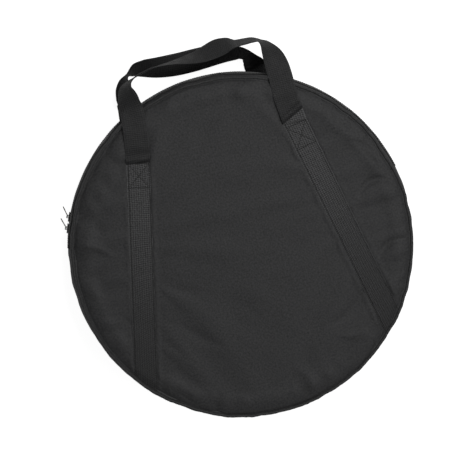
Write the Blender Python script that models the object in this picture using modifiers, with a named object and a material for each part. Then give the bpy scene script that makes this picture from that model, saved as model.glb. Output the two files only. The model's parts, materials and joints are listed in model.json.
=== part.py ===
"""Field drum bag: a round, flat, padded nylon bag with a two-way zip round the upper half of its gusset,
two webbing straps down each face and a webbing carrying handle on each.

Metres, +Z up. The bag lies on its back face. +Y points from the disc towards the handles, and the origin
is under the middle of the whole bag, on the ground.
"""

import math

import bmesh
import bpy
from mathutils import Matrix, Vector

# Driving dimensions
SEAM_RADIUS = 0.267
BODY_DEPTH = 0.084
GUSSET_BULGE = 0.010
SHELL_THICKNESS = 0.0008
FOAM_THICKNESS = 0.006
LINING_THICKNESS = 0.0006
WEBBING_WIDTH = 0.038
WEBBING_THICKNESS = 0.0018
STRAP_TOP_ACROSS = 0.127
STRAP_TOP_UP = 0.174
HANDLE_PAST_RIM = 0.057
CLEARANCE = 0.0003
CUT_OVERRUN = 0.010
MERGE_DISTANCE = 0.0001

# The rim is drawn with this many straight steps, and every seam that crosses it falls on one of them.
RIM_STEPS = 80
GUSSET_FACETS = 5
ZIP_END_STEP = 3
FLAP_END_STEP = 6
STRAP_LEAN_DEGREES = 12.2

STEP_ANGLE = 2 * math.pi / RIM_STEPS
HALF_TURN_STEPS = RIM_STEPS // 2
STRAP_LEAN = math.radians(STRAP_LEAN_DEGREES)

# Levels, from the ground up
BACK_FACE = WEBBING_THICKNESS + CLEARANCE
FRONT_FACE = BACK_FACE + BODY_DEPTH
FRONT_STRAP = FRONT_FACE + CLEARANCE
TOP = FRONT_STRAP + WEBBING_THICKNESS
MIDDLE = (BACK_FACE + FRONT_FACE) / 2
FOAM_DEPTH = SHELL_THICKNESS + CLEARANCE
LINING_DEPTH = FOAM_DEPTH + FOAM_THICKNESS + CLEARANCE
INSIDE_DEPTH = LINING_DEPTH + LINING_THICKNESS

# The foam's square-cut ends lean past the ends of its cloth by half a step's angle, so the stretches keep
# this much of the rim between them.
END_ANGLE = (CLEARANCE + 2 * FOAM_THICKNESS * math.sin(STEP_ANGLE / 2)) / SEAM_RADIUS

# The front flap folds about a straight line between the two seams at its lower corners.
FOLD_UP = SEAM_RADIUS * math.sin(FLAP_END_STEP * STEP_ANGLE)

FINISHES = {
    "nylon": ((0.030, 0.030, 0.031), 0.62, 0.0),
    "webbing": ((0.034, 0.034, 0.035), 0.70, 0.0),
    "foam": ((0.20, 0.20, 0.21), 0.95, 0.0),
    "lining": ((0.045, 0.045, 0.047), 0.75, 0.0),
    "zip_tape": ((0.028, 0.028, 0.028), 0.70, 0.0),
    "coil": ((0.040, 0.040, 0.040), 0.45, 0.0),
    "nickel": ((0.62, 0.61, 0.58), 0.28, 1.0),
}


def clear_scene():
    for obj in list(bpy.data.objects):
        bpy.data.objects.remove(obj, do_unlink=True)


def make_collection(name):
    collection = bpy.data.collections.new(name)
    bpy.context.scene.collection.children.link(collection)
    return collection


def add_finish(obj, finish):
    """Gives the object a material of its own, in one of the bag's finishes."""
    colour, roughness, metallic = FINISHES[finish]
    material = bpy.data.materials.new(f"{obj.name}_{finish}")
    material.use_nodes = True
    shader = material.node_tree.nodes["Principled BSDF"]
    shader.inputs["Base Color"].default_value = (*colour, 1.0)
    shader.inputs["Roughness"].default_value = roughness
    shader.inputs["Metallic"].default_value = metallic
    obj.data.materials.append(material)


def add_part(name, data, finish):
    obj = bpy.data.objects.new(name, data)
    PARTS.objects.link(obj)
    add_finish(obj, finish)
    return obj


def add_cutter(name, mesh):
    obj = bpy.data.objects.new(name, mesh)
    CUTTERS.objects.link(obj)
    obj.hide_render = True
    obj.display_type = "WIRE"
    return obj


def combine(obj, other, operation):
    modifier = obj.modifiers.new(f"{operation.lower()}_{other.name}", "BOOLEAN")
    modifier.operation = operation
    modifier.object = other


def swell(share, depth):
    """Radius of the gusset at this share of its height, this far under its outer face."""
    slope = 4 * GUSSET_BULGE / BODY_DEPTH * (1 - 2 * share)
    return SEAM_RADIUS + 4 * GUSSET_BULGE * share * (1 - share) - depth * math.hypot(1, slope)


def gusset_radius(level, depth=0):
    """The same at a level. Every layer of the gusset has its facets at the same levels, so that they nest."""
    height = (level - BACK_FACE) / BODY_DEPTH * GUSSET_FACETS
    facet = min(max(math.floor(height), 0), GUSSET_FACETS - 1)
    low, high = swell(facet / GUSSET_FACETS, depth), swell((facet + 1) / GUSSET_FACETS, depth)
    return low + (high - low) * (height - facet)


# Discs: the two panels, in layers

def disc_mesh(name, radius, thickness):
    mesh = bpy.data.meshes.new(name)
    form = bmesh.new()
    bmesh.ops.create_cone(
        form,
        cap_ends=True,
        segments=RIM_STEPS,
        radius1=radius,
        radius2=radius,
        depth=thickness,
    )
    form.to_mesh(mesh)
    form.free()
    return mesh


def cut_at(mesh, up, keep_above):
    """Cuts a mesh along the line at this height up the face, and closes the cut."""
    form = bmesh.new()
    form.from_mesh(mesh)
    bmesh.ops.bisect_plane(
        form,
        geom=form.verts[:] + form.edges[:] + form.faces[:],
        plane_co=(0, up, 0),
        plane_no=(0, 1, 0),
        clear_inner=keep_above,
        clear_outer=not keep_above,
    )
    bmesh.ops.holes_fill(form, edges=form.edges)
    form.to_mesh(mesh)
    form.free()


def layer(name, radius, low, thickness, finish, piece="whole"):
    """One layer of a panel: the whole disc, or its part above or below the fold."""
    mesh = disc_mesh(name, radius, thickness)
    if piece == "flap":
        cut_at(mesh, FOLD_UP + CLEARANCE / 2, keep_above=True)
    if piece == "lower":
        cut_at(mesh, FOLD_UP - CLEARANCE / 2, keep_above=False)
    obj = add_part(name, mesh, finish)
    obj.location = (0, DISC_UP, low + thickness / 2)
    return obj


def panel(name, face, inwards, piece):
    """A padded panel: outer cloth, foam and lining, from its outer face inwards."""
    lining_radius = gusset_radius(BACK_FACE + LINING_DEPTH, INSIDE_DEPTH + CLEARANCE)
    layers = (
        ("shell", SEAM_RADIUS, 0, SHELL_THICKNESS, "nylon"),
        ("foam", SEAM_RADIUS - FOAM_DEPTH, FOAM_DEPTH, FOAM_THICKNESS, "foam"),
        ("lining", lining_radius, LINING_DEPTH, LINING_THICKNESS, "lining"),
    )
    for part, radius, depth, thickness, finish in layers:
        low = face + depth if inwards > 0 else face - depth - thickness
        layer(f"{name}_{part}", radius, low, thickness, finish, piece)


# Walls: everything that is turned about the middle of the disc

def turned(name, profile, thickness, first_step, steps, finish):
    """A profile of (radius, level) points turned about the disc's axis, with its thickness inwards."""
    mesh = bpy.data.meshes.new(name)
    ends = [(index, index + 1) for index in range(len(profile) - 1)]
    mesh.from_pydata([(radius, 0, level) for radius, level in profile], ends, [])
    obj = add_part(name, mesh, finish)
    closed = steps == RIM_STEPS
    seam = 0 if closed else END_ANGLE
    obj.location = (0, DISC_UP, 0)
    obj.rotation_euler.z = first_step * STEP_ANGLE + seam / 2
    screw = obj.modifiers.new("turn", "SCREW")
    screw.axis = "Z"
    screw.angle = steps * STEP_ANGLE - seam
    screw.steps = steps
    screw.render_steps = steps
    screw.use_merge_vertices = closed
    screw.merge_threshold = MERGE_DISTANCE
    solid = obj.modifiers.new("thickness", "SOLIDIFY")
    solid.thickness = thickness
    solid.offset = -1
    return obj


def wall_profile(low, high, depth):
    """Points down the gusset from one level to another, this far under its outer face."""
    breaks = [BACK_FACE + BODY_DEPTH * index / GUSSET_FACETS for index in range(GUSSET_FACETS)]
    levels = [high, *(level for level in reversed(breaks) if low < level < high), low]
    return [(gusset_radius(level, depth), level) for level in levels]


def gusset_layers(name, low, high, edges, first_step, steps):
    """Shell, foam and lining of a stretch of gusset. Edges are how far the foam keeps from its two sides."""
    low_edge, high_edge = edges
    inner_low, inner_high = low + low_edge, high - high_edge
    layers = (
        ("shell", low, high, 0, SHELL_THICKNESS, "nylon"),
        ("foam", inner_low, inner_high, FOAM_DEPTH, FOAM_THICKNESS, "foam"),
        ("lining", inner_low, inner_high, LINING_DEPTH, LINING_THICKNESS, "lining"),
    )
    for part, bottom, top, depth, thickness, finish in layers:
        profile = wall_profile(bottom, top, depth)
        turned(f"{name}_{part}", profile, thickness, first_step, steps, finish)


def piping(name, face, inwards, first_step, steps):
    """A cord sewn into the seam round a panel, covered in the outer cloth."""
    curve = bpy.data.curves.new(name, "CURVE")
    curve.dimensions = "3D"
    curve.bevel_depth = PIPING_RADIUS
    curve.bevel_resolution = 1
    curve.use_fill_caps = True
    closed = steps == RIM_STEPS
    seam = 0 if closed else END_ANGLE
    count = steps if closed else steps + 1
    spline = curve.splines.new("POLY")
    spline.points.add(count - 1)
    spline.use_cyclic_u = closed
    level = face + inwards * PIPING_RADIUS
    radius = gusset_radius(level, -CLEARANCE - PIPING_RADIUS)
    for index, point in enumerate(spline.points):
        angle = first_step * STEP_ANGLE + seam / 2 + index * (steps * STEP_ANGLE - seam) / steps
        point.co = (radius * math.cos(angle), radius * math.sin(angle), level, 1)
    obj = add_part(name, curve, "nylon")
    obj.location = (0, DISC_UP, 0)
    return obj


def seam_binding(name, face, inwards, first_step, steps):
    """The tape that covers the raw edge of the seam inside the bag."""
    level = face + inwards * (INSIDE_DEPTH + CLEARANCE)
    if inwards < 0:
        level -= BINDING_THICKNESS
    outer = gusset_radius(BACK_FACE + LINING_DEPTH, INSIDE_DEPTH + CLEARANCE)
    profile = [(outer - BINDING_WIDTH, level + BINDING_THICKNESS), (outer, level + BINDING_THICKNESS)]
    return turned(name, profile, BINDING_THICKNESS, first_step, steps, "webbing")


PIPING_RADIUS = 0.0021
BINDING_WIDTH = 0.009
BINDING_THICKNESS = 0.0012


# The zip

ZIP_OPENING = 0.014
ZIP_TAPE_WIDTH = 0.012
ZIP_TAPE_THICKNESS = 0.0008
ZIP_TAPE_SPACE = 0.0024
COIL_SPACE = 0.0018
COIL_WIDTH = 0.0025
COIL_THICKNESS = 0.0022
ZIP_FOAM_MARGIN = ZIP_TAPE_SPACE / 2 + ZIP_TAPE_WIDTH + 2 * CLEARANCE - ZIP_OPENING / 2


def zip_half(name, side, first_step, steps):
    """One half of the zip: a woven tape behind the edge of the gusset strip, and its row of coil."""
    near = MIDDLE + side * ZIP_TAPE_SPACE / 2
    far = near + side * ZIP_TAPE_WIDTH
    low, high = sorted((near, far))
    tape = wall_profile(low, high, FOAM_DEPTH)
    turned(f"{name}_tape", tape, ZIP_TAPE_THICKNESS, first_step, steps, "zip_tape")
    near = MIDDLE + side * COIL_SPACE / 2
    far = near + side * COIL_WIDTH
    low, high = sorted((near, far))
    coil = [(COIL_TOP, high), (COIL_TOP, low)]
    turned(f"{name}_coil", coil, COIL_THICKNESS, first_step, steps, "coil")


SLIDER_RUNNING_GAP = 0.0007
SLIDER_LENGTH = 0.015
SLIDER_HEAD_WIDTH = 0.0112
SLIDER_TAIL_WIDTH = 0.0094
SLIDER_PLATE = 0.0014
SLIDER_FLANGE = 0.001
SLIDER_POST_WIDTH = 0.0008
SLIDER_POST_LENGTH = 0.004
SLIDER_BEVEL = 0.0004
CROWN_LENGTH = 0.0054
CROWN_WIDTH = 0.003
CROWN_BAR = 0.0012
CROWN_WINDOW_LENGTH = 0.0032
CROWN_WINDOW_HEIGHT = 0.0022

TAPE_FACE = gusset_radius(MIDDLE, FOAM_DEPTH)
COIL_TOP = TAPE_FACE + CLEARANCE + COIL_THICKNESS
PLATE_UNDERSIDE = COIL_TOP + SLIDER_RUNNING_GAP
PLATE_TOP = PLATE_UNDERSIDE + SLIDER_PLATE
INNER_PLATE_TOP = TAPE_FACE - ZIP_TAPE_THICKNESS - SLIDER_RUNNING_GAP
PIVOT_RADIUS = PLATE_TOP + CROWN_WINDOW_HEIGHT / 2


def block(name, lows, highs, tail_share=1.0):
    """A box between two corners. Its end at the low Y is narrowed in Z to this share."""
    mesh = bpy.data.meshes.new(name)
    form = bmesh.new()
    bmesh.ops.create_cube(form, size=1)
    middle = [(low + high) / 2 for low, high in zip(lows, highs)]
    sides = [high - low for low, high in zip(lows, highs)]
    for vert in form.verts:
        narrowing = tail_share if vert.co.y < 0 else 1
        vert.co.z *= narrowing
        vert.co = [centre + side * share for centre, side, share in zip(middle, sides, vert.co)]
    form.to_mesh(mesh)
    form.free()
    return mesh


def slider(name, angle):
    """Two plates joined by a post between the coils, with flanges outside them and a crown for the tab.
    It is drawn at +X of the disc, and turned to its place about the disc's axis."""
    half_length, half_width = SLIDER_LENGTH / 2, SLIDER_HEAD_WIDTH / 2
    tail_share = SLIDER_TAIL_WIDTH / SLIDER_HEAD_WIDTH
    low_z, high_z = MIDDLE - half_width, MIDDLE + half_width
    inner_plate = INNER_PLATE_TOP - SLIDER_PLATE
    obj = add_part(name, centred_block(name, (PLATE_UNDERSIDE, -half_length), (PLATE_TOP, half_length),
                                       SLIDER_HEAD_WIDTH, tail_share), "nickel")
    flange_reach = PLATE_UNDERSIDE - (TAPE_FACE + SLIDER_RUNNING_GAP)
    pieces = {
        "inner_plate": centred_block(f"{name}_inner", (inner_plate, -half_length),
                                     (INNER_PLATE_TOP, half_length), SLIDER_HEAD_WIDTH, tail_share),
        "post": block(f"{name}_post",
                      (inner_plate + SLIDER_BEVEL, half_length - SLIDER_POST_LENGTH,
                       MIDDLE - SLIDER_POST_WIDTH / 2),
                      (PLATE_TOP - SLIDER_BEVEL, half_length - SLIDER_BEVEL,
                       MIDDLE + SLIDER_POST_WIDTH / 2)),
    }
    for side, edge in (("low", low_z), ("high", high_z)):
        edge_low = edge if side == "low" else edge - SLIDER_FLANGE
        inset = (1 - tail_share) * half_width
        lows = (PLATE_UNDERSIDE - flange_reach, -half_length + inset, edge_low)
        highs = (PLATE_TOP - SLIDER_BEVEL, half_length - SLIDER_BEVEL, edge_low + SLIDER_FLANGE)
        pieces[f"{side}_flange"] = flange_mesh(f"{name}_{side}_flange", lows, highs, side, inset)
    for piece, mesh in pieces.items():
        combine(obj, add_cutter(f"{name}_{piece}", mesh), "UNION")
    crown = add_cutter(f"{name}_crown", block(
        f"{name}_crown",
        (PLATE_TOP - SLIDER_BEVEL, -CROWN_LENGTH / 2, MIDDLE - CROWN_WIDTH / 2),
        (PLATE_TOP + CROWN_WINDOW_HEIGHT + CROWN_BAR, CROWN_LENGTH / 2, MIDDLE + CROWN_WIDTH / 2)))
    rounding = crown.modifiers.new("rounding", "BEVEL")
    rounding.width = CROWN_BAR / 2
    rounding.segments = 2
    window = add_cutter(f"{name}_window", block(
        f"{name}_window",
        (PLATE_TOP, -CROWN_WINDOW_LENGTH / 2, MIDDLE - CUT_OVERRUN),
        (PLATE_TOP + CROWN_WINDOW_HEIGHT, CROWN_WINDOW_LENGTH / 2, MIDDLE + CUT_OVERRUN)))
    combine(crown, window, "DIFFERENCE")
    combine(obj, crown, "UNION")
    for piece in (obj, *CUTTERS.objects):
        if piece.name.startswith(name):
            piece.location = (0, DISC_UP, 0)
            piece.rotation_euler.z = angle
    return obj


def centred_block(name, lows, highs, width, tail_share):
    return block(name, (*lows, MIDDLE - width / 2), (*highs, MIDDLE + width / 2), tail_share)


def flange_mesh(name, lows, highs, side, inset):
    """A slider's side wall, which follows its narrowing."""
    mesh = block(name, lows, highs)
    shift = inset if side == "low" else -inset
    for vert in mesh.vertices:
        if vert.co.y < 0:
            vert.co.z += shift
    return mesh


TAB_BAR = 0.0013
TAB_EYE_LENGTH = 0.0040
TAB_EYE_GAP = 0.0004
TAB_LENGTH = 0.0185
TAB_NECK_WIDTH = 0.0040
TAB_RING_RADIUS = 0.0040
TAB_RING_HOLE_RADIUS = 0.0019
TAB_SIDES = 16


def cylinder_mesh(name, radius, depth, sides):
    mesh = bpy.data.meshes.new(name)
    form = bmesh.new()
    bmesh.ops.create_cone(form, cap_ends=True, segments=sides, radius1=radius, radius2=radius, depth=depth)
    form.to_mesh(mesh)
    form.free()
    return mesh


def pull_tab(name, angle, raised):
    """A stamped tab: an eye round the slider's crown, a neck and a ring. It is drawn along +X from its bar,
    lying in the plane of Z and X, and turned to stand out from the slider."""
    half_bar = TAB_BAR / 2
    eye_width = CROWN_WIDTH + 2 * TAB_EYE_GAP
    eye_end = half_bar + TAB_EYE_LENGTH
    outer_half = eye_width / 2 + TAB_BAR
    ring_centre = TAB_LENGTH - half_bar - TAB_RING_RADIUS
    obj = add_part(name, block(name, (-half_bar, -half_bar, -outer_half),
                               (eye_end + TAB_BAR, half_bar, outer_half)), "nickel")
    neck = add_cutter(f"{name}_neck", block(
        f"{name}_neck", (eye_end + half_bar, -half_bar, -TAB_NECK_WIDTH / 2),
        (ring_centre, half_bar, TAB_NECK_WIDTH / 2)))
    lying = Matrix.Rotation(math.pi / 2, 4, "X")
    ring = add_cutter(f"{name}_ring", cylinder_mesh(f"{name}_ring", TAB_RING_RADIUS, TAB_BAR, TAB_SIDES))
    ring.data.transform(Matrix.Translation((ring_centre, 0, 0)) @ lying)
    hole = add_cutter(f"{name}_hole", cylinder_mesh(
        f"{name}_hole", TAB_RING_HOLE_RADIUS, CUT_OVERRUN, TAB_SIDES))
    hole.data.transform(Matrix.Translation((ring_centre, 0, 0)) @ lying)
    eye = add_cutter(f"{name}_eye", block(
        f"{name}_eye", (half_bar, -CUT_OVERRUN, -eye_width / 2), (eye_end, CUT_OVERRUN, eye_width / 2)))
    combine(obj, neck, "UNION")
    combine(obj, ring, "UNION")
    combine(obj, hole, "DIFFERENCE")
    combine(obj, eye, "DIFFERENCE")
    across = PIVOT_RADIUS * math.cos(angle)
    up = DISC_UP + PIVOT_RADIUS * math.sin(angle)
    for piece in (obj, neck, ring, hole, eye):
        piece.location = (across, up, MIDDLE)
        piece.rotation_euler.z = angle - math.pi / 2 + raised
    return obj


UPPER_SLIDER_ANGLE = math.radians(156.3)
LOWER_SLIDER_ANGLE = math.radians(160.1)
TAB_RAISED = math.radians(35)


# Webbing

def strap_run(name, side, low, top, bottom, rim_cutter=None):
    """A flat run of webbing down a face, leaning outwards, between two heights up the face."""
    mesh = bpy.data.meshes.new(name)
    form = bmesh.new()
    bmesh.ops.create_cube(form, size=1)
    length = 2 * SEAM_RADIUS
    size = Matrix.Diagonal((WEBBING_WIDTH, length, WEBBING_THICKNESS, 1))
    lean = Matrix.Rotation(side * STRAP_LEAN, 4, "Z")
    place = Matrix.Translation((side * STRAP_TOP_ACROSS, STRAP_TOP_UP, 0))
    drop = Matrix.Translation((0, CUT_OVERRUN - length / 2, 0))
    bmesh.ops.transform(form, matrix=place @ lean @ drop @ size, verts=form.verts)
    form.to_mesh(mesh)
    form.free()
    cut_at(mesh, top, keep_above=False)
    if bottom is not None:
        cut_at(mesh, bottom, keep_above=True)
    obj = add_part(name, mesh, "webbing")
    obj.location = (0, DISC_UP, low + WEBBING_THICKNESS / 2)
    if rim_cutter is not None:
        combine(obj, rim_cutter, "INTERSECT")
    return obj


def turn_slope(before, start, end):
    """How fast the webbing's turn changes at a station, so that it never passes the stations beside it."""
    rise, next_rise = start - before, end - start
    if rise * next_rise <= 0:
        return 0
    return 2 * rise * next_rise / (rise + next_rise)


def smooth_route(route, steps):
    """Stations along a smooth curve through the route's own points. Their last value is the turn."""
    stations = []
    for index in range(len(route) - 1):
        before, start, end, after = (
            Vector(route[min(max(index + offset, 0), len(route) - 1)]) for offset in (-1, 0, 1, 2)
        )
        start_slope = turn_slope(before[-1], start[-1], end[-1])
        end_slope = turn_slope(start[-1], end[-1], after[-1])
        for step in range(steps):
            t = step / steps
            station = (
                start
                + (end - before) * t / 2
                + (before * 2 - start * 5 + end * 4 - after) * t * t / 2
                + (start * 3 - before - end * 3 + after) * t * t * t / 2
            )
            station[-1] = start[-1] + (end[-1] - start[-1]) * t * t * (3 - 2 * t)
            station[-1] += start_slope * t * (1 - t) * (1 - t) - end_slope * t * t * (1 - t)
            stations.append(station)
    stations.append(Vector(route[-1]))
    return stations


def webbing_rows(stations):
    """Points across the webbing at each station: its outer edge, middle and inner edge."""
    places = [Vector(station[:3]) for station in stations]
    rows = []
    for index, station in enumerate(stations):
        ahead = places[min(index + 1, len(places) - 1)]
        behind = places[max(index - 1, 0)]
        along = (ahead - behind).normalized()
        inwards = along.cross(Vector((0, 0, 1))).normalized()
        half_width = WEBBING_WIDTH / 2
        if index in (0, len(places) - 1):
            inwards = Vector((math.copysign(1, inwards.x), 0, 0))
            half_width /= math.cos(STRAP_LEAN)
        turn = math.radians(station[3])
        across = inwards * math.cos(turn) + inwards.cross(along) * math.sin(turn)
        rows.append([places[index] + across * half_width * side for side in (-1, 0, 1)])
    return rows


def webbing_loop(name, stations):
    """A free loop of webbing. Each station is across, up, level and how far the webbing has turned on its
    long axis, in degrees, with its inner edge raised where that is positive."""
    mesh = bpy.data.meshes.new(name)
    form = bmesh.new()
    rows = [[form.verts.new(point) for point in row] for row in webbing_rows(stations)]
    for lower, upper in zip(rows, rows[1:]):
        for column in (0, 1):
            form.faces.new((lower[column], lower[column + 1], upper[column + 1], upper[column]))
    form.to_mesh(mesh)
    form.free()
    obj = add_part(name, mesh, "webbing")
    obj.location = (0, DISC_UP, 0)
    solid = obj.modifiers.new("thickness", "SOLIDIFY")
    solid.thickness = WEBBING_THICKNESS
    solid.offset = 0
    return obj


# How the slack loops lie: across as a share of half the span between the straps, up as a share of the way
# from the stitches to the loop's end, sag as a share of the front loop's sag, and the turn in degrees.
SEAM_share = 0.62
FRONT_LOOP_shares = (
    (-1.000, 0.000, 0.00, 0),
    (-0.949, 0.273, -0.06, 0),
    (-0.929, 0.426, -0.05, 0),
    (-0.928, 0.533, 0.00, 6),
    (-0.942, 0.627, 0.14, 30),
    (-0.947, 0.713, 0.28, 50),
    (-0.929, 0.773, 0.44, 64),
    (-0.870, 0.823, 0.60, 82),
    (-0.764, 0.860, 0.75, 92),
    (-0.630, 0.889, 0.85, 94),
    (-0.496, 0.905, 0.92, 90),
    (-0.268, 0.906, 1.00, 81),
    (-0.118, 0.903, 1.00, 70),
    (0.024, 0.902, 1.00, 60),
    (0.142, 0.917, 1.00, 50),
    (0.283, 0.940, 0.95, 43),
    (0.409, 0.949, 0.90, 52),
    (0.480, 0.945, 0.87, 65),
    (0.535, 0.941, 0.85, 73),
    (0.654, 0.938, 0.80, 75),
    (0.732, 0.933, 0.72, 77),
    (0.815, 0.912, 0.62, 82),
    (0.872, 0.870, 0.50, 67),
    (0.913, 0.790, 0.35, 44),
    (0.943, 0.690, 0.18, 22),
    (0.959, 0.553, 0.02, 4),
    (0.963, 0.420, -0.05, 0),
    (0.964, 0.286, -0.06, 0),
    (1.000, 0.000, 0.00, 0),
)
BACK_LOOP_shares = (
    (-1.000, 0.000, 0),
    (-0.971, 0.259, 0),
    (-0.956, 0.440, 0),
    (-0.944, 0.547, 0),
    (-0.947, 0.627, -14),
    (-0.965, 0.700, -36),
    (-0.965, 0.773, -54),
    (-0.931, 0.843, -70),
    (-0.869, 0.887, -82),
    (-0.772, 0.927, -61),
    (-0.661, 0.921, -45),
    (-0.472, 0.891, -30),
    (-0.244, 0.873, -19),
    (-0.039, 0.871, -17),
    (0.118, 0.873, -22),
    (0.299, 0.873, -32),
    (0.457, 0.860, -44),
    (0.575, 0.830, -60),
    (0.650, 0.787, -64),
    (0.705, 0.720, -48),
    (0.734, 0.667, -26),
    (0.755, 0.613, 0),
    (0.819, 0.446, 0),
    (0.890, 0.253, 0),
    (1.000, 0.000, 0),
)
FRONT_LOOP_SAG = 0.016
LOOP_STEPS = 2


def loop_up(share):
    """Height up the face of a station. The loop lies over the face as far as the seam, and then past it."""
    stitches = STRAP_TOP_UP + CLEARANCE / 2
    if share < SEAM_share:
        return stitches + share / SEAM_share * (SEAM_RADIUS - stitches)
    return SEAM_RADIUS + (share - SEAM_share) / (1 - SEAM_share) * HANDLE_PAST_RIM


def front_stations():
    level = FRONT_STRAP + WEBBING_THICKNESS / 2
    route = [
        (across * STRAP_TOP_ACROSS, loop_up(up), level - sag * FRONT_LOOP_SAG, turn)
        for across, up, sag, turn in FRONT_LOOP_shares
    ]
    return smooth_route(route, LOOP_STEPS)


def back_stations():
    """The back loop lies on the ground, flat or with its inner edge down."""
    route = [
        (across * STRAP_TOP_ACROSS, loop_up(up), 0, turn) for across, up, turn in BACK_LOOP_shares
    ]
    stations = smooth_route(route, LOOP_STEPS)
    for station in stations:
        turn = math.radians(abs(station[3]))
        station[2] = (WEBBING_WIDTH * math.sin(turn) + WEBBING_THICKNESS) / 2
    return stations


# The disc's middle, placed so that the origin is under the middle of the whole bag

LOOP_TOP = max(edge.y for row in webbing_rows(front_stations()) for edge in row)
DISC_UP = (gusset_radius(MIDDLE) - LOOP_TOP) / 2


def build_panels():
    panel("back_panel", BACK_FACE, 1, "whole")
    panel("front_panel", FRONT_FACE, -1, "lower")
    panel("flap", FRONT_FACE, -1, "flap")


def build_gusset():
    low, high = BACK_FACE + FOAM_DEPTH, FRONT_FACE - FOAM_DEPTH
    seam_edge = LINING_DEPTH - FOAM_DEPTH
    zip_low, zip_high = MIDDLE - ZIP_OPENING / 2, MIDDLE + ZIP_OPENING / 2
    zip_steps = HALF_TURN_STEPS - 2 * ZIP_END_STEP
    flap_steps = HALF_TURN_STEPS - 2 * FLAP_END_STEP
    end_steps = FLAP_END_STEP - ZIP_END_STEP
    left_end = HALF_TURN_STEPS - FLAP_END_STEP
    gusset_layers("lower_gusset", low, high, (seam_edge, seam_edge),
                  HALF_TURN_STEPS - ZIP_END_STEP, RIM_STEPS - zip_steps)
    gusset_layers("rear_zip_strip", low, zip_low, (seam_edge, ZIP_FOAM_MARGIN),
                  ZIP_END_STEP, zip_steps)
    gusset_layers("flap_zip_strip", zip_high, high, (ZIP_FOAM_MARGIN, seam_edge),
                  FLAP_END_STEP, flap_steps)
    gusset_layers("right_strip_end", zip_high, high, (ZIP_FOAM_MARGIN, seam_edge),
                  ZIP_END_STEP, end_steps)
    gusset_layers("left_strip_end", zip_high, high, (ZIP_FOAM_MARGIN, seam_edge),
                  left_end, end_steps)
    zip_half("rear_zip", -1, ZIP_END_STEP, zip_steps)
    zip_half("flap_zip", 1, FLAP_END_STEP, flap_steps)
    zip_half("right_zip_end", 1, ZIP_END_STEP, end_steps)
    zip_half("left_zip_end", 1, left_end, end_steps)
    front_steps = RIM_STEPS - flap_steps
    piping("back_piping", BACK_FACE, 1, 0, RIM_STEPS)
    piping("front_piping", FRONT_FACE, -1, left_end, front_steps)
    piping("flap_piping", FRONT_FACE, -1, FLAP_END_STEP, flap_steps)
    seam_binding("back_seam_binding", BACK_FACE, 1, 0, RIM_STEPS)
    seam_binding("front_seam_binding", FRONT_FACE, -1, left_end, front_steps)
    seam_binding("flap_seam_binding", FRONT_FACE, -1, FLAP_END_STEP, flap_steps)


def build_straps():
    rim = add_cutter("strap_rim", disc_mesh("strap_rim", SEAM_RADIUS - CLEARANCE, 2 * TOP))
    rim.location = (0, DISC_UP, MIDDLE)
    strap_top = STRAP_TOP_UP - CLEARANCE / 2
    for side, word in ((-1, "left"), (1, "right")):
        strap_run(f"flap_{word}_strap", side, FRONT_STRAP, strap_top, FOLD_UP + CLEARANCE / 2)
        strap_run(f"front_{word}_strap", side, FRONT_STRAP, FOLD_UP - CLEARANCE / 2, None, rim)
        strap_run(f"back_{word}_strap", side, 0, strap_top, None, rim)
    webbing_loop("front_handle", front_stations())
    webbing_loop("back_handle", back_stations())


def build_sliders():
    slider("upper_slider", UPPER_SLIDER_ANGLE)
    slider("lower_slider", LOWER_SLIDER_ANGLE)
    pull_tab("upper_pull_tab", UPPER_SLIDER_ANGLE, TAB_RAISED)
    pull_tab("lower_pull_tab", LOWER_SLIDER_ANGLE, TAB_RAISED)


clear_scene()
PARTS = make_collection("field_drum_bag")
CUTTERS = make_collection("cutters")
CUTTERS.hide_render = True
build_panels()
build_gusset()
build_straps()
build_sliders()
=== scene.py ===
"""Looks of the field drum bag: padded nylon covers and rim, zip, straps, handles and their stitching, built
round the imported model, with the floor, lights and camera of the photograph."""

import json
import math

import bmesh
import bpy
import numpy as np
from mathutils import Matrix, Vector, noise
from mathutils.bvhtree import BVHTree


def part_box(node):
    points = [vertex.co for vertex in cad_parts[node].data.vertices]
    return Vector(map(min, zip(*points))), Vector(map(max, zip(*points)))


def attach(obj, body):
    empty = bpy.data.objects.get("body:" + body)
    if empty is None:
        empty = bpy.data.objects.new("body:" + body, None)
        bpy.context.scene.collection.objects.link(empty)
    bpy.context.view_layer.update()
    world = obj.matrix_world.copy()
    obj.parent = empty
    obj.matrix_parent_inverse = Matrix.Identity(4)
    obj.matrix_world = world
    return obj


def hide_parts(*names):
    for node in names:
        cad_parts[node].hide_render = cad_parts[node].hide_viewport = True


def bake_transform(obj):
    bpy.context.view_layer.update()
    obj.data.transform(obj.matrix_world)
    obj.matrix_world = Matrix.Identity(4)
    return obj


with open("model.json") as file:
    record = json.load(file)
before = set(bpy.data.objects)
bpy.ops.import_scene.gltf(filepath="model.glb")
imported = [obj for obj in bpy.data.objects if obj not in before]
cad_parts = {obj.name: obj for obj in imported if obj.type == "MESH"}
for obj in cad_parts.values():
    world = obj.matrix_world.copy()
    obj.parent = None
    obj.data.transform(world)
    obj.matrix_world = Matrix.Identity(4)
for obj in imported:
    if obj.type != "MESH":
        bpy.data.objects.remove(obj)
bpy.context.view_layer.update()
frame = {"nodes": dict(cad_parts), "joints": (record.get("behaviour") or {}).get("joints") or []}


# The front cover. A round of black coated nylon over a 6 mm foam sheet, with a thin lining inside. It is
# sewn down round its rim and under the straps, and the slack between the seams lies in soft folds. Its upper
# part is the flap, in the same piece.

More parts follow.
